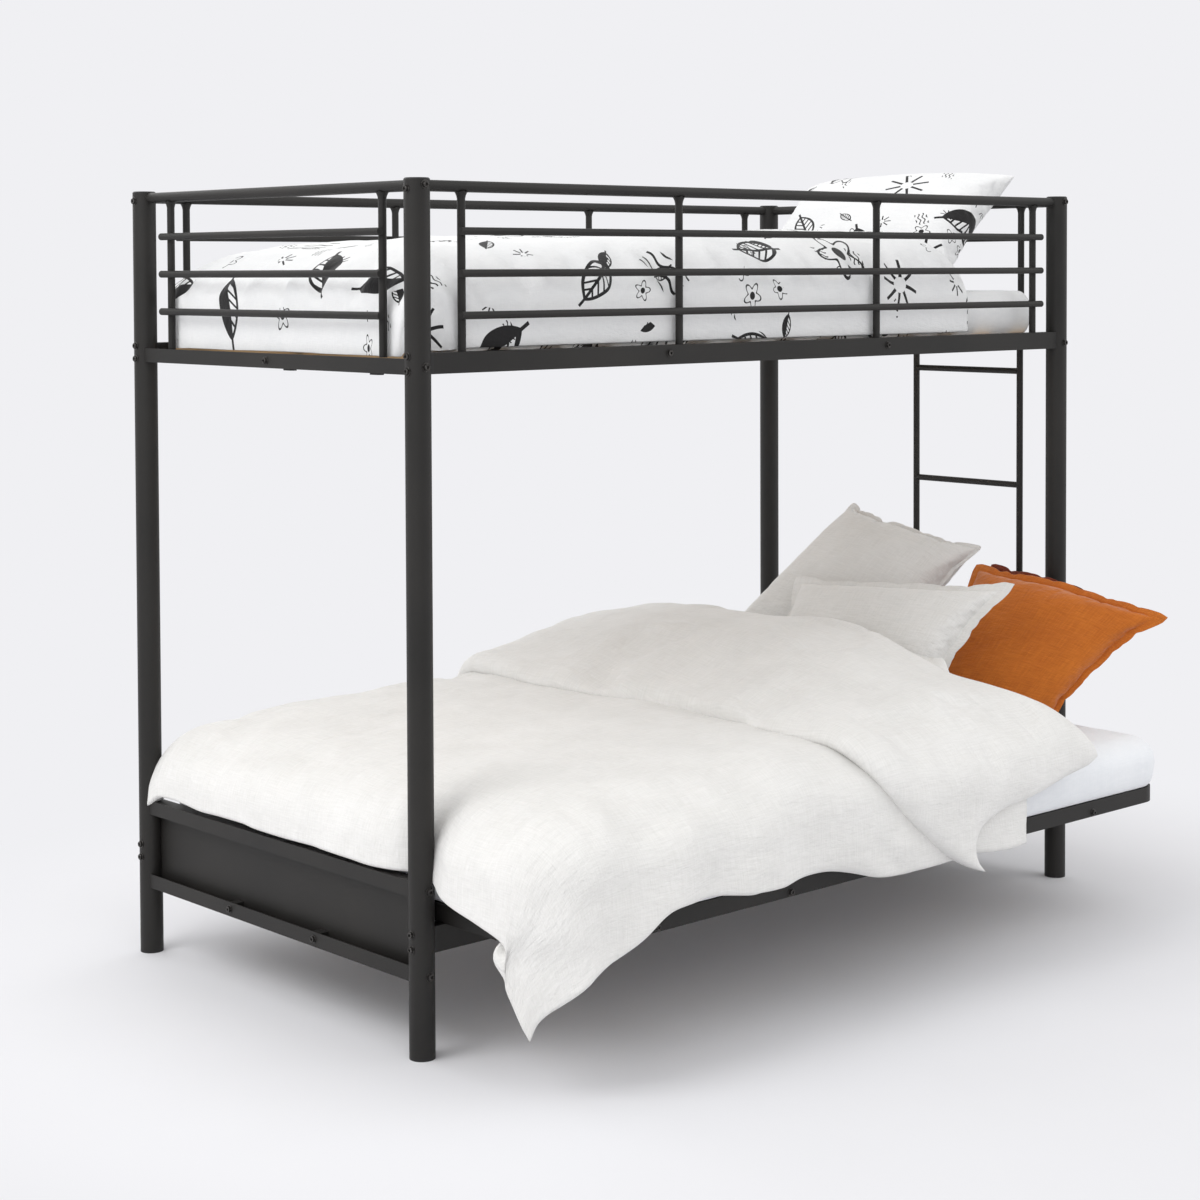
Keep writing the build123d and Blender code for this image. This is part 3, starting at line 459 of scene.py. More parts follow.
def settle(obj, frames, pressure, growth=0.0, stiffness=8.0, bending=0.05):
    """Blows a closed cloth piece up a little and lets it buckle. Returns its new places."""
    stage_scene = bpy.context.scene
    stage_scene.frame_set(1)
    modifier = obj.modifiers.new("cloth", "CLOTH")
    cloth = modifier.settings
    cloth.quality = 5
    cloth.mass = 0.3
    cloth.tension_stiffness = 15
    cloth.compression_stiffness = stiffness
    cloth.shear_stiffness = 4
    cloth.bending_stiffness = bending
    cloth.shrink_min = -growth
    cloth.use_pressure = True
    cloth.uniform_pressure_force = pressure
    cloth.effector_weights.gravity = 0
    modifier.point_cache.frame_start = 1
    modifier.point_cache.frame_end = frames
    for number in range(1, frames + 1):
        stage_scene.frame_set(number)
    mesh = evaluated(obj).to_mesh()
    places = np.zeros(len(mesh.vertices) * 3)
    mesh.vertices.foreach_get("co", places)
    obj.to_mesh_clear()
    obj.modifiers.clear()
    stage_scene.frame_set(1)
    return places.reshape(-1, 3)


def mesh_places(obj):
    """The vertex places of a mesh, as an array."""
    places = np.zeros(len(obj.data.vertices) * 3)
    obj.data.vertices.foreach_get("co", places)
    return places.reshape(-1, 3)


def set_places(obj, places):
    """Moves a mesh's vertices to the places of an array."""
    obj.data.vertices.foreach_set("co", np.asarray(places, float).ravel())
    obj.data.update()


def crumple(obj, normals, cap, inward, **settings):
    """Settles a draped shell, and takes the upper side's moves up to a cap."""
    before = mesh_places(obj)
    moved = settle(obj, growth=0.05, **settings) - before
    n = normals.reshape(-1, 3)
    count = len(n)
    moved[count:] = 0
    length = np.linalg.norm(moved, axis=1, keepdims=True)
    moved = moved * np.minimum(1, cap / np.maximum(length, 1e-9))
    inside = (moved[:count] * n).sum(1, keepdims=True)
    moved[:count] -= n * np.minimum(inside + inward, 0)
    set_places(obj, before + moved)


def refine(obj):
    """One even subdivision of a finished cloth piece."""
    modifier = obj.modifiers.new("fine", "SUBSURF")
    modifier.levels = modifier.render_levels = 1
    modifier.uv_smooth = "NONE"
    mesh = bpy.data.meshes.new_from_object(evaluated(obj))
    obj.modifiers.clear()
    obj.data = mesh


# Mattresses

def square_grid(nu, nv, crowd):
    """Even grid of a square from -1 to 1, with more lines near its edges."""
    def line(n):
        t = np.linspace(-1, 1, n)
        return (1 - crowd) * t + crowd * np.sin(t * math.pi / 2)
    return np.meshgrid(line(nu), line(nv), indexing="ij")


def rounded_plan(u, v, half_x, half_y, corner):
    """Square grid points moved on to nested rounded rectangles."""
    ring = np.maximum(np.abs(u), np.abs(v))
    x, y = np.abs(u) * half_x, np.abs(v) * half_y
    radius = corner * smooth(ring, 0.55, 1.0)
    dx, dy = x - (half_x * ring - radius), y - (half_y * ring - radius)
    in_corner = (dx > 0) & (dy > 0) & (radius > 1e-6)
    length = np.maximum(np.hypot(dx, dy), 1e-9)
    share = np.minimum(1, np.maximum(dx, dy) / np.maximum(radius, 1e-9))
    factor = np.where(in_corner, radius / length * share, 1)
    x = np.where(in_corner, half_x * ring - radius + dx * factor, x)
    y = np.where(in_corner, half_y * ring - radius + dy * factor, y)
    return np.sign(u) * x, np.sign(v) * y


def mattress(name, low, high, corner, rim, material):
    """A mattress in a fitted sheet: rounded plan, soft edges and shallow tension creases."""
    crease, under_rim = 0.0022, 0.022
    centre = (Vector(low) + Vector(high)) / 2
    half_x, half_y = (high[0] - low[0]) / 2, (high[1] - low[1]) / 2
    height = high[2] - low[2]
    u, v = square_grid(150, 120, 0.8)
    x, y = rounded_plan(u, v, half_x, half_y, corner)
    across, along = half_x - np.abs(x), half_y - np.abs(y)
    near = np.hypot(np.maximum(corner - across, 0), np.maximum(corner - along, 0))
    in_corner = (across < corner) & (along < corner)
    to_edge = np.where(in_corner, corner - near, np.minimum(across, along))
    at_edge = (np.abs(u) > 0.999) | (np.abs(v) > 0.999)
    to_edge = np.where(at_edge, 0, np.maximum(to_edge, 0))
    t = np.clip(to_edge / rim, 0, 1)
    bow = 0.5 * np.sqrt(np.maximum(1 - (1 - t) ** 2.2, 0))
    t_under = np.clip(to_edge / under_rim, 0, 1)
    low_bow = 0.5 * np.sqrt(np.maximum(1 - (1 - t_under) ** 2, 0))
    creases = bumps(x * 0.6, y * 0.6, 0.05, 5) * crease
    creases = creases * (1 - 0.6 * smooth(to_edge, 0.05, 0.3)) * smooth(t, 0, 0.3)
    top_z = np.minimum(low[2] + height * (0.5 + bow) + creases - crease, high[2])
    top = np.stack([x + centre[0], y + centre[1], top_z], 2)
    bottom = np.stack([x + centre[0], y + centre[1], low[2] + height * (0.5 - low_bow)], 2)
    return shell(name, top, bottom, material, np.stack([x, y], 2))


low_front, low_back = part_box("low_mattress_front"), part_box("low_mattress_back")
low_mattress = mattress(
    "low_mattress", low_front[0], low_back[1], corner=0.07, rim=0.075, material=sheet_cotton
)
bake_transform(low_mattress)
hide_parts("low_mattress_front", "low_mattress_crease", "low_mattress_back")

high_low, high_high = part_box("high_mattress")
high_mattress = mattress(
    "high_mattress_dressed", high_low, high_high, corner=0.045, rim=0.035, material=printed_cotton
)
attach(high_mattress, "frame")
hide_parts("high_mattress")


# Duvet of the low bed: a flat cloth bent over the left end and the front of the mattress

CORNER_X = -0.855
CORNER_Y = -0.5365
RIM_REACH = 0.132
RIM_DROP = 0.125
RIM_ARC = 0.202
LEFT_HANG = 0.30
FRONT_HANG = 0.30
REAR_HEM, REAR_TURNED = 0.662, 0.655
SPREAD_HEAD = 0.335
SHEET_TOP = 0.45


def even_grid(rows, cols):
    """Row and column shares of a grid, from 0 to 1."""
    return np.meshgrid(np.linspace(0, 1, rows), np.linspace(0, 1, cols), indexing="ij")


def rounding(distance, reach):
    """Quarter-circle rise from 0 at an edge to 1 at a reach from it."""
    return np.sqrt(np.clip(1 - (1 - np.clip(distance / reach, 0, 1)) ** 2, 0, 1))


def upward(normal, r, c):
    """Normals turned so that the one at a chosen point looks up."""
    return normal if normal[r, c, 2] > 0 else -normal


def low_top(x, y):
    """Height of the spread duvet's top surface."""
    along = curve(x, [
        (-1.0, 0.486), (-0.8, 0.500), (-0.5, 0.510), (0.0, 0.514), (0.4, 0.508), (0.9, 0.500),
    ])
    height = SHEET_TOP + (along - SHEET_TOP) * (1 - smooth(y, 0.60, 0.70))
    return height + 0.007 * bumps(x, y, 0.42, 11) + 0.004 * bumps(x, y, 0.19, 12)


def low_drape(u, v):
    """Place of a point of the flat cloth, u from its left edge and v from its front edge."""
    p, q = np.maximum(LEFT_HANG - u, 0), np.maximum(FRONT_HANG - v, 0)
    rho = np.maximum(np.hypot(p, q), 1e-9)
    angle = np.clip(rho / RIM_ARC, 0, 1) * math.pi / 2
    past = np.maximum(rho - RIM_ARC, 0)
    reach = RIM_REACH * np.sin(angle) + 0.09 * past
    drop = RIM_DROP * (1 - np.cos(angle)) + past * 0.99
    x = CORNER_X + np.maximum(u - LEFT_HANG, 0)
    y = CORNER_Y + np.maximum(v - FRONT_HANG, 0)
    z = low_top(x, y) - drop
    swing = smooth(past, 0.03, 0.13) * smooth(q, 0.02, 0.15) * smooth(p, 0.1, 0.3)
    x = x - reach * p / rho - 0.006 * swing
    y = y - reach * q / rho + 0.05 * swing
    return np.stack([x, y, z], -1)


def low_spread(rows=124, cols=104):
    """The spread part of the duvet, from the left end to the head."""
    i, j = even_grid(rows, cols)
    width = FRONT_HANG + (REAR_HEM - CORNER_Y)
    left_hem = curve(j * width, [
        (-0.03, -0.030), (0, -0.039), (0.1, -0.054), (0.2, -0.042), (0.3, -0.005), (0.36, 0.012),
        (0.45, 0.028), (0.52, 0.040), (0.58, 0.053), (0.75, 0.060), (1.1, 0.066), (1.5, 0.071),
    ])
    length = LEFT_HANG + (SPREAD_HEAD - CORNER_X)
    u = left_hem + i * (length - left_hem)
    front_hem = curve(u, [
        (-0.06, -0.02), (0, -0.028), (0.1, -0.044), (0.2, -0.042), (0.3, -0.034),
        (0.38, -0.008), (0.43, 0.024), (0.53, 0.022), (0.7, 0.004), (0.92, -0.012),
        (1.02, -0.03), (1.2, -0.036), (1.5, -0.03),
    ])
    v = front_hem + j * (width - front_hem)
    place = low_drape(u, v)
    normal = upward(-grid_normals(place), rows // 2, cols // 2)
    front_fall = smooth(FRONT_HANG - v, 0.06, 0.3)
    end_fall = smooth(LEFT_HANG - u, 0.06, 0.28)
    pleat = np.sin(u * 19 + 3.6 * bumps(u, v, 0.5, 3)) * front_fall * smooth(u, 0.15, 0.45) * 0.011
    end_pleat = np.sin(v * 26 + 2 * bumps(v, u, 0.4, 4)) * end_fall * smooth(v, 0.1, 0.4) * 0.004
    pleat = pleat + end_pleat
    place = place + normal * (pleat + 0.004 * bumps(u, v * 1.6, 0.11, 8))[..., None]

    # The cloth keeps clear of the front left post
    by_post = np.exp(-((place[..., 1] - Y_FRONT) / 0.06) ** 2) * smooth(-place[..., 0], 0.85, 0.95)
    place[..., 0] = place[..., 0] + 0.04 * by_post
    edge = np.minimum.reduce([i * length, (1 - i) * length, j * width, (1 - j) * width])
    thick = 0.004 + 0.034 * rounding(edge, 0.09)
    return place, place - normal * thick[..., None], np.stack([u, v], 2), normal


def low_cover(name, top, under, flat, normal):
    """One part of the low bed's duvet, crumpled and refined."""
    obj = shell(name, top, under, white_linen, flat)
    crumple(obj, normal, cap=0.014, inward=0.004, frames=14, pressure=1.2)
    refine(obj)
    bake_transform(obj)
    return obj


low_duvet = low_cover("low_duvet_spread", *low_spread())
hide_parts("low_duvet")


def low_turned(rows=78, cols=112):
    """The head of the duvet, turned back over the spread part and against the front pillow."""
    a, back = even_grid(rows, cols)
    b = 1 - back
    width = FRONT_HANG + (REAR_TURNED - CORNER_Y)
    hem = curve(a, [(0, -0.07), (0.29, 0.028), (0.68, 0.075), (1, 0.115)])
    v = hem + b * (width - hem)
    free = curve(v, [
        (-0.08, 0.21), (-0.04, 0.12), (0.06, -0.03), (0.135, -0.10), (0.23, -0.15), (0.36, -0.15),
        (0.6, -0.13), (0.84, -0.11), (1.04, -0.16), (1.5, -0.13),
    ])
    head = curve(v, [
        (-0.08, 0.58), (0.1, 0.60), (0.2, 0.54), (0.31, 0.475), (0.40, 0.455), (0.46, 0.45),
        (0.7, 0.46), (1.1, 0.465), (1.2, 0.51), (1.3, 0.55), (1.5, 0.60),
    ])
    length = head - free
    x = free + a * length
    u = x - CORNER_X + LEFT_HANG
    base = low_drape(u, v)
    normal = upward(grid_normals(base), rows // 2, cols // 3)
    y = base[..., 1]
    swell = np.ones_like(a)
    for distance, reach in (
        (a * length, 0.06), ((1 - a) * length, 0.07), (v - hem, 0.05), ((1 - b) * width, 0.05)
    ):
        swell = swell * rounding(distance, reach)
    rise = smooth(a, 0.05, 0.6) * smooth(y, -0.62, -0.05)
    full = 0.034 - 0.016 * (1 - smooth(v, 0.05, 0.35)) + 0.10 * rise
    full = full - 0.035 * rise * smooth(y, 0.3, 0.6)
    full = full + 0.008 * bumps(u, v, 0.3, 21)
    lift = 0.010 + full * swell + 0.004 * bumps(u * 1.6, v, 0.12, 28)
    top = base + normal * lift[..., None]

    # Past the spread part the cloth sinks to the sheet, and leans on the front pillow's face
    on_top = smooth(v, 0.18, 0.34)
    sink = smooth(x, 0.345, 0.375) * (0.095 * on_top + 0.028 * (1 - on_top)) * smooth(1 - a, 0, 0.1)
    under = base + normal * (0.004 - sink)[..., None]
    beside = smooth(y, -0.43, -0.36) * (1 - smooth(y, 0.27, 0.34))
    sheet, foot, face_top, face_x, face_slope = 0.409, 0.41, 0.60, 0.355, 1.53
    face = np.minimum(0.456 + (x - face_x) * face_slope, face_top)
    floor_z = np.where(beside > 0, foot + beside * (face - foot), sheet)
    lowest = np.where((x > 0.35) & (v > 0.32), np.maximum(floor_z, sheet), -1)
    under[..., 2] = np.maximum(under[..., 2], lowest)
    top[..., 2] = np.maximum(top[..., 2], under[..., 2] + 0.006)
    return top, under, np.stack([u + 3, v], 2), normal


low_cover("low_duvet_turned", *low_turned())


# Pillows

def stuffed(name, size, corners, material, seed, flange=0.0, sag=(0, 0), floor=0.407):
    """A pillow blown up from two flat cloths, then laid on a patch between four corners.

    The size is length, height and thickness. The corners go round from the low left one.
    The sag bends the top edge up and the middle out, and nothing goes below the floor.
    """
    length, height, thick = size
    rows, cols = 72, 56
    body_x, body_y = length - 2 * flange, height - 2 * flange
    u, v = square_grid(rows, cols, 0.3)
    x, y = u * body_x / 2, v * body_y / 2
    dome = (1 - u**2) * (1 - v**2)
    flat = np.stack([x, y], 2)
    wobble = 0.003 * bumps(x + seed, y, 0.12, seed)
    apart = 0.004
    front = np.stack([x, y, apart * dome + wobble * dome], 2)
    back = np.stack([x, y, -apart * dome + wobble * dome], 2)
    obj = shell(name, front, back, material, flat)
    index, lower = shell_index(rows, cols)
    settled = settle(obj, frames=20, pressure=2.6, stiffness=4)
    front, back = settled[index], settled[lower]
    bpy.data.objects.remove(obj)

    # The cloth shrinks as it fills, so its corners and thickness go back to size
    tips = np.array([front[0, 0], front[-1, 0], front[0, -1], front[-1, -1]])
    middle = tips.mean(0)
    spread = np.abs(tips - middle).mean(0)
    depth = front[..., 2].max() - back[..., 2].min()
    scale = np.array([body_x / 2 / spread[0], body_y / 2 / spread[1], thick / depth])
    front, back = (front - middle) * scale, (back - middle) * scale
    if flange:
        front, back, flat = add_flange(front, back, flat, flange, seed)
    low_left, low_right, high_right, high_left = (np.array(c, float) for c in corners)
    placed = []
    for side in (front, back):
        s = (side[..., 0] / length + 0.5)[..., None]
        t = (side[..., 1] / height + 0.5)[..., None]
        ds = (1 - t) * (low_right - low_left) + t * (high_right - high_left)
        dt = (1 - s) * (high_left - low_left) + s * (high_right - low_right)
        normal = np.cross(ds, dt)
        normal /= np.linalg.norm(normal, axis=2, keepdims=True)
        low, high = (1 - s) * low_left + s * low_right, (1 - s) * high_left + s * high_right
        point = (1 - t) * low + t * high
        arch = 4 * s * (1 - s)
        point = point + arch * t * np.array([0, 0, sag[0]]) + normal * (arch * 4 * t * (1 - t) * sag[1])
        point = point + normal * side[..., 2:3]
        below = floor - point[..., 2]
        lift = np.maximum(below, 0) + 0.003 * np.exp(-np.abs(below) / 0.01)
        point[..., 2] += np.where(below > -0.02, lift, 0)
        placed.append(point)
    obj = shell(name, placed[0], placed[1], material, flat)
    refine(obj)
    return obj


def shell_index(rows, cols):
    """Vertex numbers of a shell's two sides, as shell() lays them out."""
    index = np.arange(rows * cols).reshape(rows, cols)
    lower = index.copy()
    lower[1:-1, 1:-1] = rows * cols + np.arange((rows - 2) * (cols - 2)).reshape(rows - 2, cols - 2)
    return index, lower


def add_flange(front, back, flat, width, seed):
    """A flat border of doubled cloth round a pillow, with a stitched groove at the seam."""
    rings = 5
    half_thick = 0.0016
    rows, cols = front.shape[:2]
    r = np.arange(-rings, rows + rings)
    c = np.arange(-rings, cols + rings)
    near_r, near_c = np.clip(r, 0, rows - 1), np.clip(c, 0, cols - 1)
    past_r, past_c = (r - near_r)[:, None] / rings, (c - near_c)[None, :] / rings
    out = np.maximum(np.abs(past_r), np.abs(past_c))
    made = []
    step_r, step_c = np.meshgrid(np.arange(r.size) * 0.9, np.arange(c.size) * 0.9, indexing="ij")
    gather = bumps(step_r, step_c, 8.0, seed + 9)
    for side, sign in ((front, 1), (back, -1)):
        grown = side[near_r][:, near_c].copy()
        grown[..., 0] += past_r * width
        grown[..., 1] += past_c * width
        ply = np.where(out > 0, sign * half_thick * (1 - 0.5 * out), 0)
        grown[..., 2] += out * 0.0035 * gather + ply
        made.append(grown)
    grown_flat = flat[near_r][:, near_c].copy()
    grown_flat[..., 0] += past_r * width
    grown_flat[..., 1] += past_c * width
    return made[0], made[1], grown_flat


def pillow_piece(node, slot, body, fill, **settings):
    """A pillow in place of its node, riding a body."""
    obj = stuffed(node + "_soft", **settings)
    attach(obj, body)
    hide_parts(node)
    return obj


pillow = pillow_piece(
    "white_pillow_front", "white_linen", "seat", fill=0.7, size=(0.66, 0.50, 0.12),
    corners=[(0.42, 0.25, 0.425), (0.44, -0.30, 0.42), (0.665, -0.405, 0.76), (0.635, 0.26, 0.715)],
    material=white_linen, flange=0.030, sag=(0.022, 0.0), seed=31,
)
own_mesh(pillow)
pillow = pillow_piece(
    "white_pillow_back", "white_linen", "seat", fill=0.7, size=(0.60, 0.53, 0.15),
    corners=[(0.61, 0.575, 0.50), (0.68, 0.03, 0.42), (0.91, -0.11, 0.80), (0.865, 0.275, 0.885)],
    material=white_linen, flange=0.012, sag=(0.028, 0.02), seed=41,
)
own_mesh(pillow)
pillow = pillow_piece(
    "ochre_pillow", "ochre_linen", "seat", fill=0.6, size=(0.60, 0.47, 0.09),
    corners=[(0.63, -0.06, 0.425), (0.78, -0.41, 0.418), (0.925, -0.645, 0.68), (0.875, -0.12, 0.76)],
    material=ochre_linen, flange=0.022, sag=(0.045, 0.0), seed=51,
)
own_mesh(pillow)
pillow = pillow_piece(
    "rust_pillow", "rust_linen", "seat", fill=0.6, size=(0.60, 0.46, 0.045),
    corners=[(0.78, -0.07, 0.425), (0.88, -0.35, 0.42), (0.952, -0.575, 0.665), (0.935, -0.12, 0.755)],
    material=rust_linen, flange=0.018, sag=(0.05, 0.0), seed=61,
)
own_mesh(pillow)
pillow_piece(
    "high_pillow", "printed_cotton", "frame", fill=0.75, size=(0.66, 0.50, 0.14),
    corners=[(0.67, 0.44, 1.475), (0.665, -0.20, 1.47), (0.945, -0.185, 1.715), (0.93, 0.49, 1.70)],
    material=printed_cotton, sag=(0.012, 0.008), seed=71, floor=1.4368,
)


# Duvet of the high bed, tucked down inside the guards

HIGH_LEFT, HIGH_NEAR, HIGH_FAR = -0.9675, -0.2690, 0.6690
SHOULDER = 0.17
SHOULDER_ARC = 0.226
SKIRT = 0.066
SKIRT_TOP = 1.405
HIGH_SHEET_TOP = 1.45
HIGH_HEM = 1.3365
END_HEM, END_TO = 1.3245, -0.957


def high_top(x, y):
    """Height of the high duvet's top surface."""
    crest = curve(x, [
        (-0.97, 1.512), (-0.8, 1.535), (-0.6, 1.548), (-0.35, 1.556), (0, 1.566), (0.3, 1.575),
        (0.66, 1.578),
    ])
    middle = 1 - 0.10 * ((y - Y_MIDDLE) / 0.46) ** 2
    height = HIGH_SHEET_TOP + (crest - HIGH_SHEET_TOP) * middle
    return height + 0.008 * bumps(x, y, 0.33, 81) + 0.004 * bumps(x, y, 0.15, 82)


def high_spread(rows=118, cols=112):
    """The high duvet, bent down inside the left end and both sides."""
    i, j = even_grid(rows, cols)
    hang = SHOULDER_ARC + SKIRT
    width = (HIGH_FAR - HIGH_NEAR) - 2 * SHOULDER + 2 * hang
    v = j * width
    crowded = i ** 1.25
    side = j * width - width / 2
    y_flat = Y_MIDDLE + side
    head = curve(y_flat, [
        (-0.40, 0.66), (-0.25, 0.645), (-0.17, 0.60), (-0.05, 0.50), (0.05, 0.45), (0.35, 0.43),
        (0.8, 0.42),
    ])
    corner_x = HIGH_LEFT + SHOULDER
    length = head - corner_x + hang
    u = crowded * length
    p = np.maximum(hang - u, 0)
    q = np.maximum(np.maximum(hang - v, v - (width - hang)), 0)
    rho = np.maximum((p**3 + q**3) ** (1 / 3), 1e-9)
    angle = np.clip(rho / SHOULDER_ARC, 0, 1) * math.pi / 2
    past = np.maximum(rho - SHOULDER_ARC, 0)
    reach = SHOULDER * np.sin(angle)
    fall = 1 - np.cos(angle)
    x = corner_x + np.maximum(u - hang, 0)
    y = np.clip(y_flat, HIGH_NEAR + SHOULDER, HIGH_FAR - SHOULDER)
    outward = np.sign(side)
    z_top = high_top(x, y)
    hem = HIGH_HEM + (END_HEM - HIGH_HEM) * smooth(p - q, 0.02, 0.10)
    z = z_top - fall * (z_top - SKIRT_TOP) - np.minimum(past / SKIRT, 1) * (SKIRT_TOP - hem)
    place = np.stack([x - reach * p / rho, y + outward * reach * q / rho, z], 2)
    normal = upward(grid_normals(place), rows // 2, cols // 2)
    fallen = np.clip(rho / SHOULDER_ARC, 0, 1)
    corner = np.exp(-((p - q) / 0.12) ** 2) * (p > 0.02) * (q > 0.02)
    around = np.where(p >= q, v, u + 2.0)
    folds = np.sin(around * 52 + 2.5 * bumps(u, v, 0.35, 85))
    folds = folds + 0.6 * np.sin(around * 93 + 2 * bumps(v, u, 0.3, 86))
    depth = (0.004 + 0.005 * corner + 0.003 * (outward < 0)) * smooth(fallen, 0.2, 0.75)
    depth = depth * (1 - 0.6 * smooth(fallen, 0.85, 1))
    quilt = 0.0045 * bumps(u * 1.3, v, 0.12, 88) * (1 - 0.8 * fallen**2)
    place = place + normal * (folds * depth + quilt)[..., None]
    place[..., 0] = np.maximum(place[..., 0], HIGH_LEFT)
    place[..., 1] = np.clip(place[..., 1], HIGH_NEAR, HIGH_FAR)
    edge = np.minimum.reduce([u, (1 - crowded) * length, v, width - v])
    thick = 0.004 + (0.052 * (1 - fallen) + 0.003) * rounding(edge, 0.09)
    return place, place - normal * thick[..., None], np.stack([u, v], 2), normal


place, under, flat, high_normal = high_spread()
high_duvet = shell("high_duvet_spread", place, under, printed_cotton, flat)
crumple(high_duvet, high_normal, cap=0.009, inward=0.003, frames=12, pressure=1.0)
kept = mesh_places(high_duvet)
kept[:, 0] = np.maximum(kept[:, 0], HIGH_LEFT)
kept[:, 1] = np.clip(kept[:, 1], HIGH_NEAR, HIGH_FAR)
kept[:, 2] = np.maximum(kept[:, 2], np.where(kept[:, 0] < END_TO, END_HEM, HIGH_HEM))
set_places(high_duvet, kept)
refine(high_duvet)
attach(high_duvet, "frame")
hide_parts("high_duvet")


# Bolts and weld flares of the frame

def turned_part(profile, place, axis, six_from=None):
    """Verts and faces of a turned profile of (radius, height) on an axis, closed at both ends.

    Rings from six_from on are six-sided.
    """
    segments = 24
    side = math.pi / 3
    z = Vector(axis).normalized()
    x = z.orthogonal().normalized()
    y = z.cross(x)
    verts, faces = [], []
    for ring, (radius, height) in enumerate(profile):
        for k in range(segments):
            turn = 2 * math.pi * k / segments
            near = radius
            if six_from is not None and ring >= six_from:
                near = radius * math.cos(side / 2) / math.cos((turn % side) - side / 2)
            out = x * near * math.cos(turn) + y * near * math.sin(turn)
            verts.append(Vector(place) + out + z * height)
    for ring in range(len(profile) - 1):
        for k in range(segments):
            a, b = ring * segments + k, ring * segments + (k + 1) % segments
            faces.append((a, b, b + segments, a + segments))
    faces.append(tuple(reversed(range(segments))))
    faces.append(tuple(range((len(profile) - 1) * segments, len(profile) * segments)))
    return verts, faces


def merged(name, parts, material, body):
    """One object of many small turned parts."""
    verts, faces = [], []
    for part_verts, part_faces in parts:
        start = len(verts)
        verts += part_verts
        faces += [tuple(start + n for n in face) for face in part_faces]
    obj = new_object(name, verts, faces, material, smooth_shade=False)
    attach(obj, body)
    return obj


def bolt(place, axis, sink=0.0):
    """Socket head on a washer, with a six-sided recess. The sink goes into a round post."""
    profile = [
        (0.0088, -sink), (0.0088, 0.0009), (0.0084, 0.0013), (0.0062, 0.0013),
        (0.0062, 0.0048), (0.0056, 0.0054), (0.0031, 0.0054), (0.0029, 0.0028),
    ]
    return turned_part(profile, place, axis, six_from=6)


def dark_bolt_steel():
    """Blackened steel of the bolts, a little glossier than the paint."""
    m = Nodes("bolt_steel", 0.35, Metallic=0.8)
    worn = m.noise(m.coords("Object"), 180.0, 3.0)
    m.color(m.ramp(worn, [(0.35, srgb(44, 42, 41)), (0.7, srgb(86, 84, 82))]))
    m.normal(m.bump(worn, 0.0002, 0.4))
    return m.mat


def collar(x, y):
    """Weld collar at the top of a guard's upright, wide end at the rail."""
    radius, out, length = UPRIGHT_RADIUS, 0.005, 0.012
    profile = [
        (radius + out, 0), (radius + out * 0.62, length * 0.25),
        (radius + out * 0.25, length * 0.6), (radius + 0.0003, length),
    ]
    place = (x, y, GUARD_RAIL_Z - GUARD_RAIL_RADIUS + COLLAR_OVERLAP)
    return turned_part(profile, place, (0, 0, -1))


POST_RADIUS, POST_SINK = 0.025, 0.0016
RAIL_HALF = 0.015
SIDE_RAIL_Z, END_RAIL_Z, LOW_RAIL_Z, FOLD_RAIL_Z = 1.3175, 1.308, 0.1603, 0.2593
UPRIGHT_RADIUS = 0.008
GUARD_RAIL_Z, GUARD_RAIL_RADIUS = 1.6475, 0.011
COLLAR_OVERLAP = 0.001

bolt_steel = dark_bolt_steel()
bolts = []
for sx in (-1, 1):
    for sy, y_post in ((-1, Y_FRONT), (1, Y_BACK)):
        for z in (1.649, 1.308, 0.3215, 0.160):
            place = (sx * X_POST, y_post + sy * POST_RADIUS, z)
            bolts.append(bolt(place, (0, sy, 0), POST_SINK))
        for z in (1.641, 1.300, 1.328, 0.211, 0.239):
            place = (sx * (X_POST + POST_RADIUS - 0.0005), y_post, z)
            bolts.append(bolt(place, (sx, 0, 0), POST_SINK))
for sy, y_rail in ((-1, Y_FRONT - RAIL_HALF), (1, Y_BACK + RAIL_HALF)):
    for x in (-0.34, 0.34):
        bolts.append(bolt((x, y_rail, SIDE_RAIL_Z), (0, sy, 0)))
for sx in (-1, 1):
    x = sx * (X_POST + RAIL_HALF)
    bolts.append(bolt((x, Y_MIDDLE, END_RAIL_Z), (sx, 0, 0)))
    for y in (0.0495, 0.3505):
        bolts.append(bolt((x, y, LOW_RAIL_Z), (sx, 0, 0)))
merged("frame_bolts", bolts, bolt_steel, "frame")
collars = [collar(x, y) for y in (Y_FRONT, Y_BACK) for x in (-0.874, -0.298, 0.318, 0.885)]
collars += [collar(x, y) for x in (-X_POST, X_POST) for y in (-0.1745, 0.5745)]
merged("weld_collars", collars, frame_metal, "frame")
for body, y, sy in (("seat", -0.6115, -1), ("backrest", 0.6735, 1)):
    bolts = [bolt((x, y, FOLD_RAIL_Z), (0, sy, 0)) for x in (-0.68, -0.315, 0.315, 0.68)]
    merged(body + "_bolts", bolts, bolt_steel, body)


# Floor, light and camera

BACKDROP = srgb(240, 240, 243)
FLOOR_HALF = 30
SHADOW_TO, BACKDROP_FROM = 1.05, 1.9


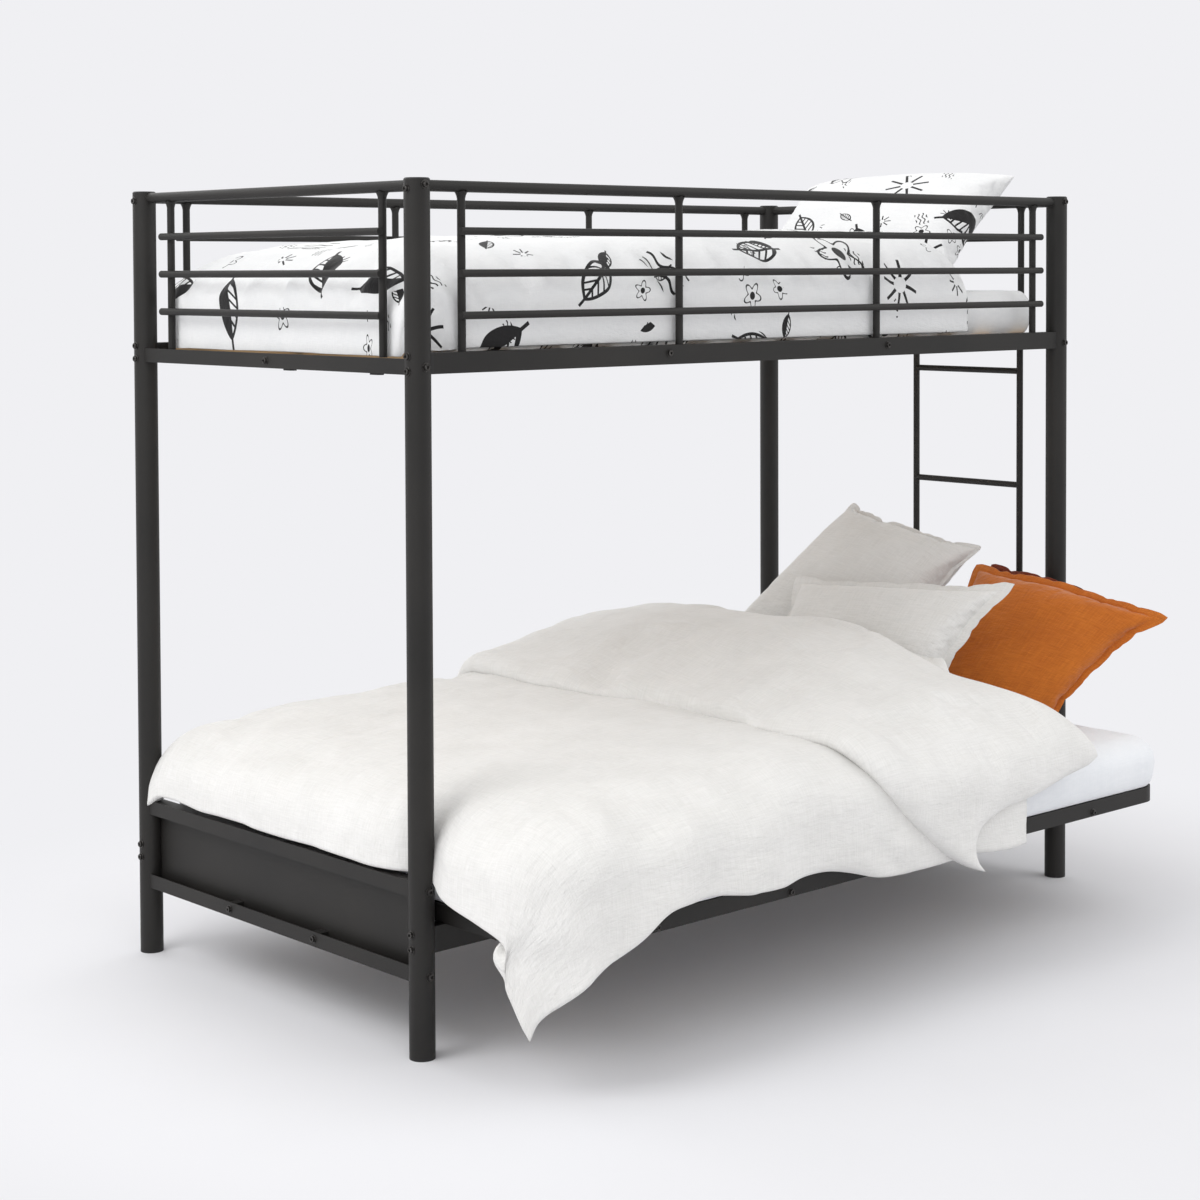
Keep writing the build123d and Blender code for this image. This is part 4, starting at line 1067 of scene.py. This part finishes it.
def studio_floor():
    """Pale floor that holds the shadow near the bed and meets the backdrop far from it."""
    m = Nodes("floor", 0.95, Specular_IOR_Level=0.0)
    place = m.coords("Object")
    paper = m.noise(place, 2.0, 2.0)
    m.color(m.ramp(paper, [(0.3, srgb(228, 228, 231)), (0.7, srgb(230, 230, 233))]))
    away = m.node("ShaderNodeVectorMath", operation="LENGTH")
    m.link(m.coords("Object", (0.9, 1.0, 1.0)), away.inputs[0])
    far = m.node("ShaderNodeMapRange", interpolation_type="SMOOTHSTEP")
    m.link(away.outputs["Value"], far.inputs["Value"])
    far.inputs["From Min"].default_value = SHADOW_TO
    far.inputs["From Max"].default_value = BACKDROP_FROM
    path = m.node("ShaderNodeLightPath")
    seen = m.math("MULTIPLY", far.outputs["Result"], path.outputs["Is Camera Ray"])
    glow = m.node("ShaderNodeEmission")
    glow.inputs["Color"].default_value = (*BACKDROP, 1)
    mixed = m.node("ShaderNodeMixShader")
    m.link(seen, mixed.inputs[0])
    m.link(m.shader.outputs[0], mixed.inputs[1])
    m.link(glow.outputs[0], mixed.inputs[2])
    m.link(mixed.outputs[0], m.tree.nodes["Material Output"].inputs["Surface"])
    return m.mat


corners = [(sx * FLOOR_HALF, sy * FLOOR_HALF, 0) for sx, sy in ((-1, -1), (1, -1), (1, 1), (-1, 1))]
floor = new_object("floor", corners, [(0, 1, 2, 3)], studio_floor())

world = bpy.data.worlds.new("studio")
bpy.context.scene.world = world
world.use_nodes = True
nodes, links = world.node_tree.nodes, world.node_tree.links
background = nodes["Background"]
background.inputs["Color"].default_value = (1, 1, 1, 1)
background.inputs["Strength"].default_value = 0.93
seen = nodes.new("ShaderNodeBackground")
seen.inputs["Color"].default_value = (*BACKDROP, 1)
seen.inputs["Strength"].default_value = 1.0
path = nodes.new("ShaderNodeLightPath")
mix = nodes.new("ShaderNodeMixShader")
links.new(path.outputs["Is Camera Ray"], mix.inputs["Fac"])
links.new(background.outputs[0], mix.inputs[1])
links.new(seen.outputs[0], mix.inputs[2])
links.new(mix.outputs[0], nodes["World Output"].inputs["Surface"])


def area_light(name, place, target, size, power):
    """A round soft lamp that looks at a target."""
    data = bpy.data.lights.new(name, "AREA")
    data.shape = "DISK"
    data.size = size
    data.energy = power
    obj = bpy.data.objects.new(name, data)
    obj.location = place
    obj.rotation_euler = (Vector(target) - Vector(place)).to_track_quat("-Z", "Y").to_euler()
    bpy.context.scene.collection.objects.link(obj)


area_light("key", (-3.6, 0.2, 3.6), (0, 0.1, 0.5), 2.6, 62)
area_light("front", (-4.4, -3.0, 2.4), (0.4, 0.1, 0.7), 3.0, 12)
area_light("fill", (2.6, -2.6, 3.3), (0.3, -0.4, 0.3), 3.0, 24)
area_light("rear", (-0.6, 3.6, 2.7), (0, 0.3, 0.5), 3.0, 24)

# Camera fitted to the photograph's 1200 px frame, with the sight line above its middle
CAMERA_PLACE = (-3.6771, -3.7607, 1.487)
PITCH = math.radians(2.0)
YAW = 0.8338
ROLL = -0.004
FOCAL_PX, MIDDLE_PX, SIGHT_PX = 2346.21, 600, 352.5
SENSOR = 36
camera_data = bpy.data.cameras.new("camera")
camera_data.sensor_width = SENSOR
camera_data.lens = SENSOR * FOCAL_PX / (2 * MIDDLE_PX)
camera_data.shift_y = (SIGHT_PX - MIDDLE_PX) / (2 * MIDDLE_PX)
camera = bpy.data.objects.new("camera", camera_data)
flat_forward = Vector((math.cos(YAW), math.sin(YAW), 0))
forward = flat_forward * math.cos(PITCH) - Vector((0, 0, math.sin(PITCH)))
level = Vector((math.sin(YAW), -math.cos(YAW), 0))
above = level.cross(forward)
right = level * math.cos(ROLL) + above * math.sin(ROLL)
upright = above * math.cos(ROLL) - level * math.sin(ROLL)
axes = Matrix((right, upright, -forward)).transposed().to_4x4()
camera.matrix_world = Matrix.Translation(CAMERA_PLACE) @ axes
bpy.context.scene.collection.objects.link(camera)
bpy.context.scene.camera = camera
bpy.context.scene.view_settings.view_transform = "Standard"
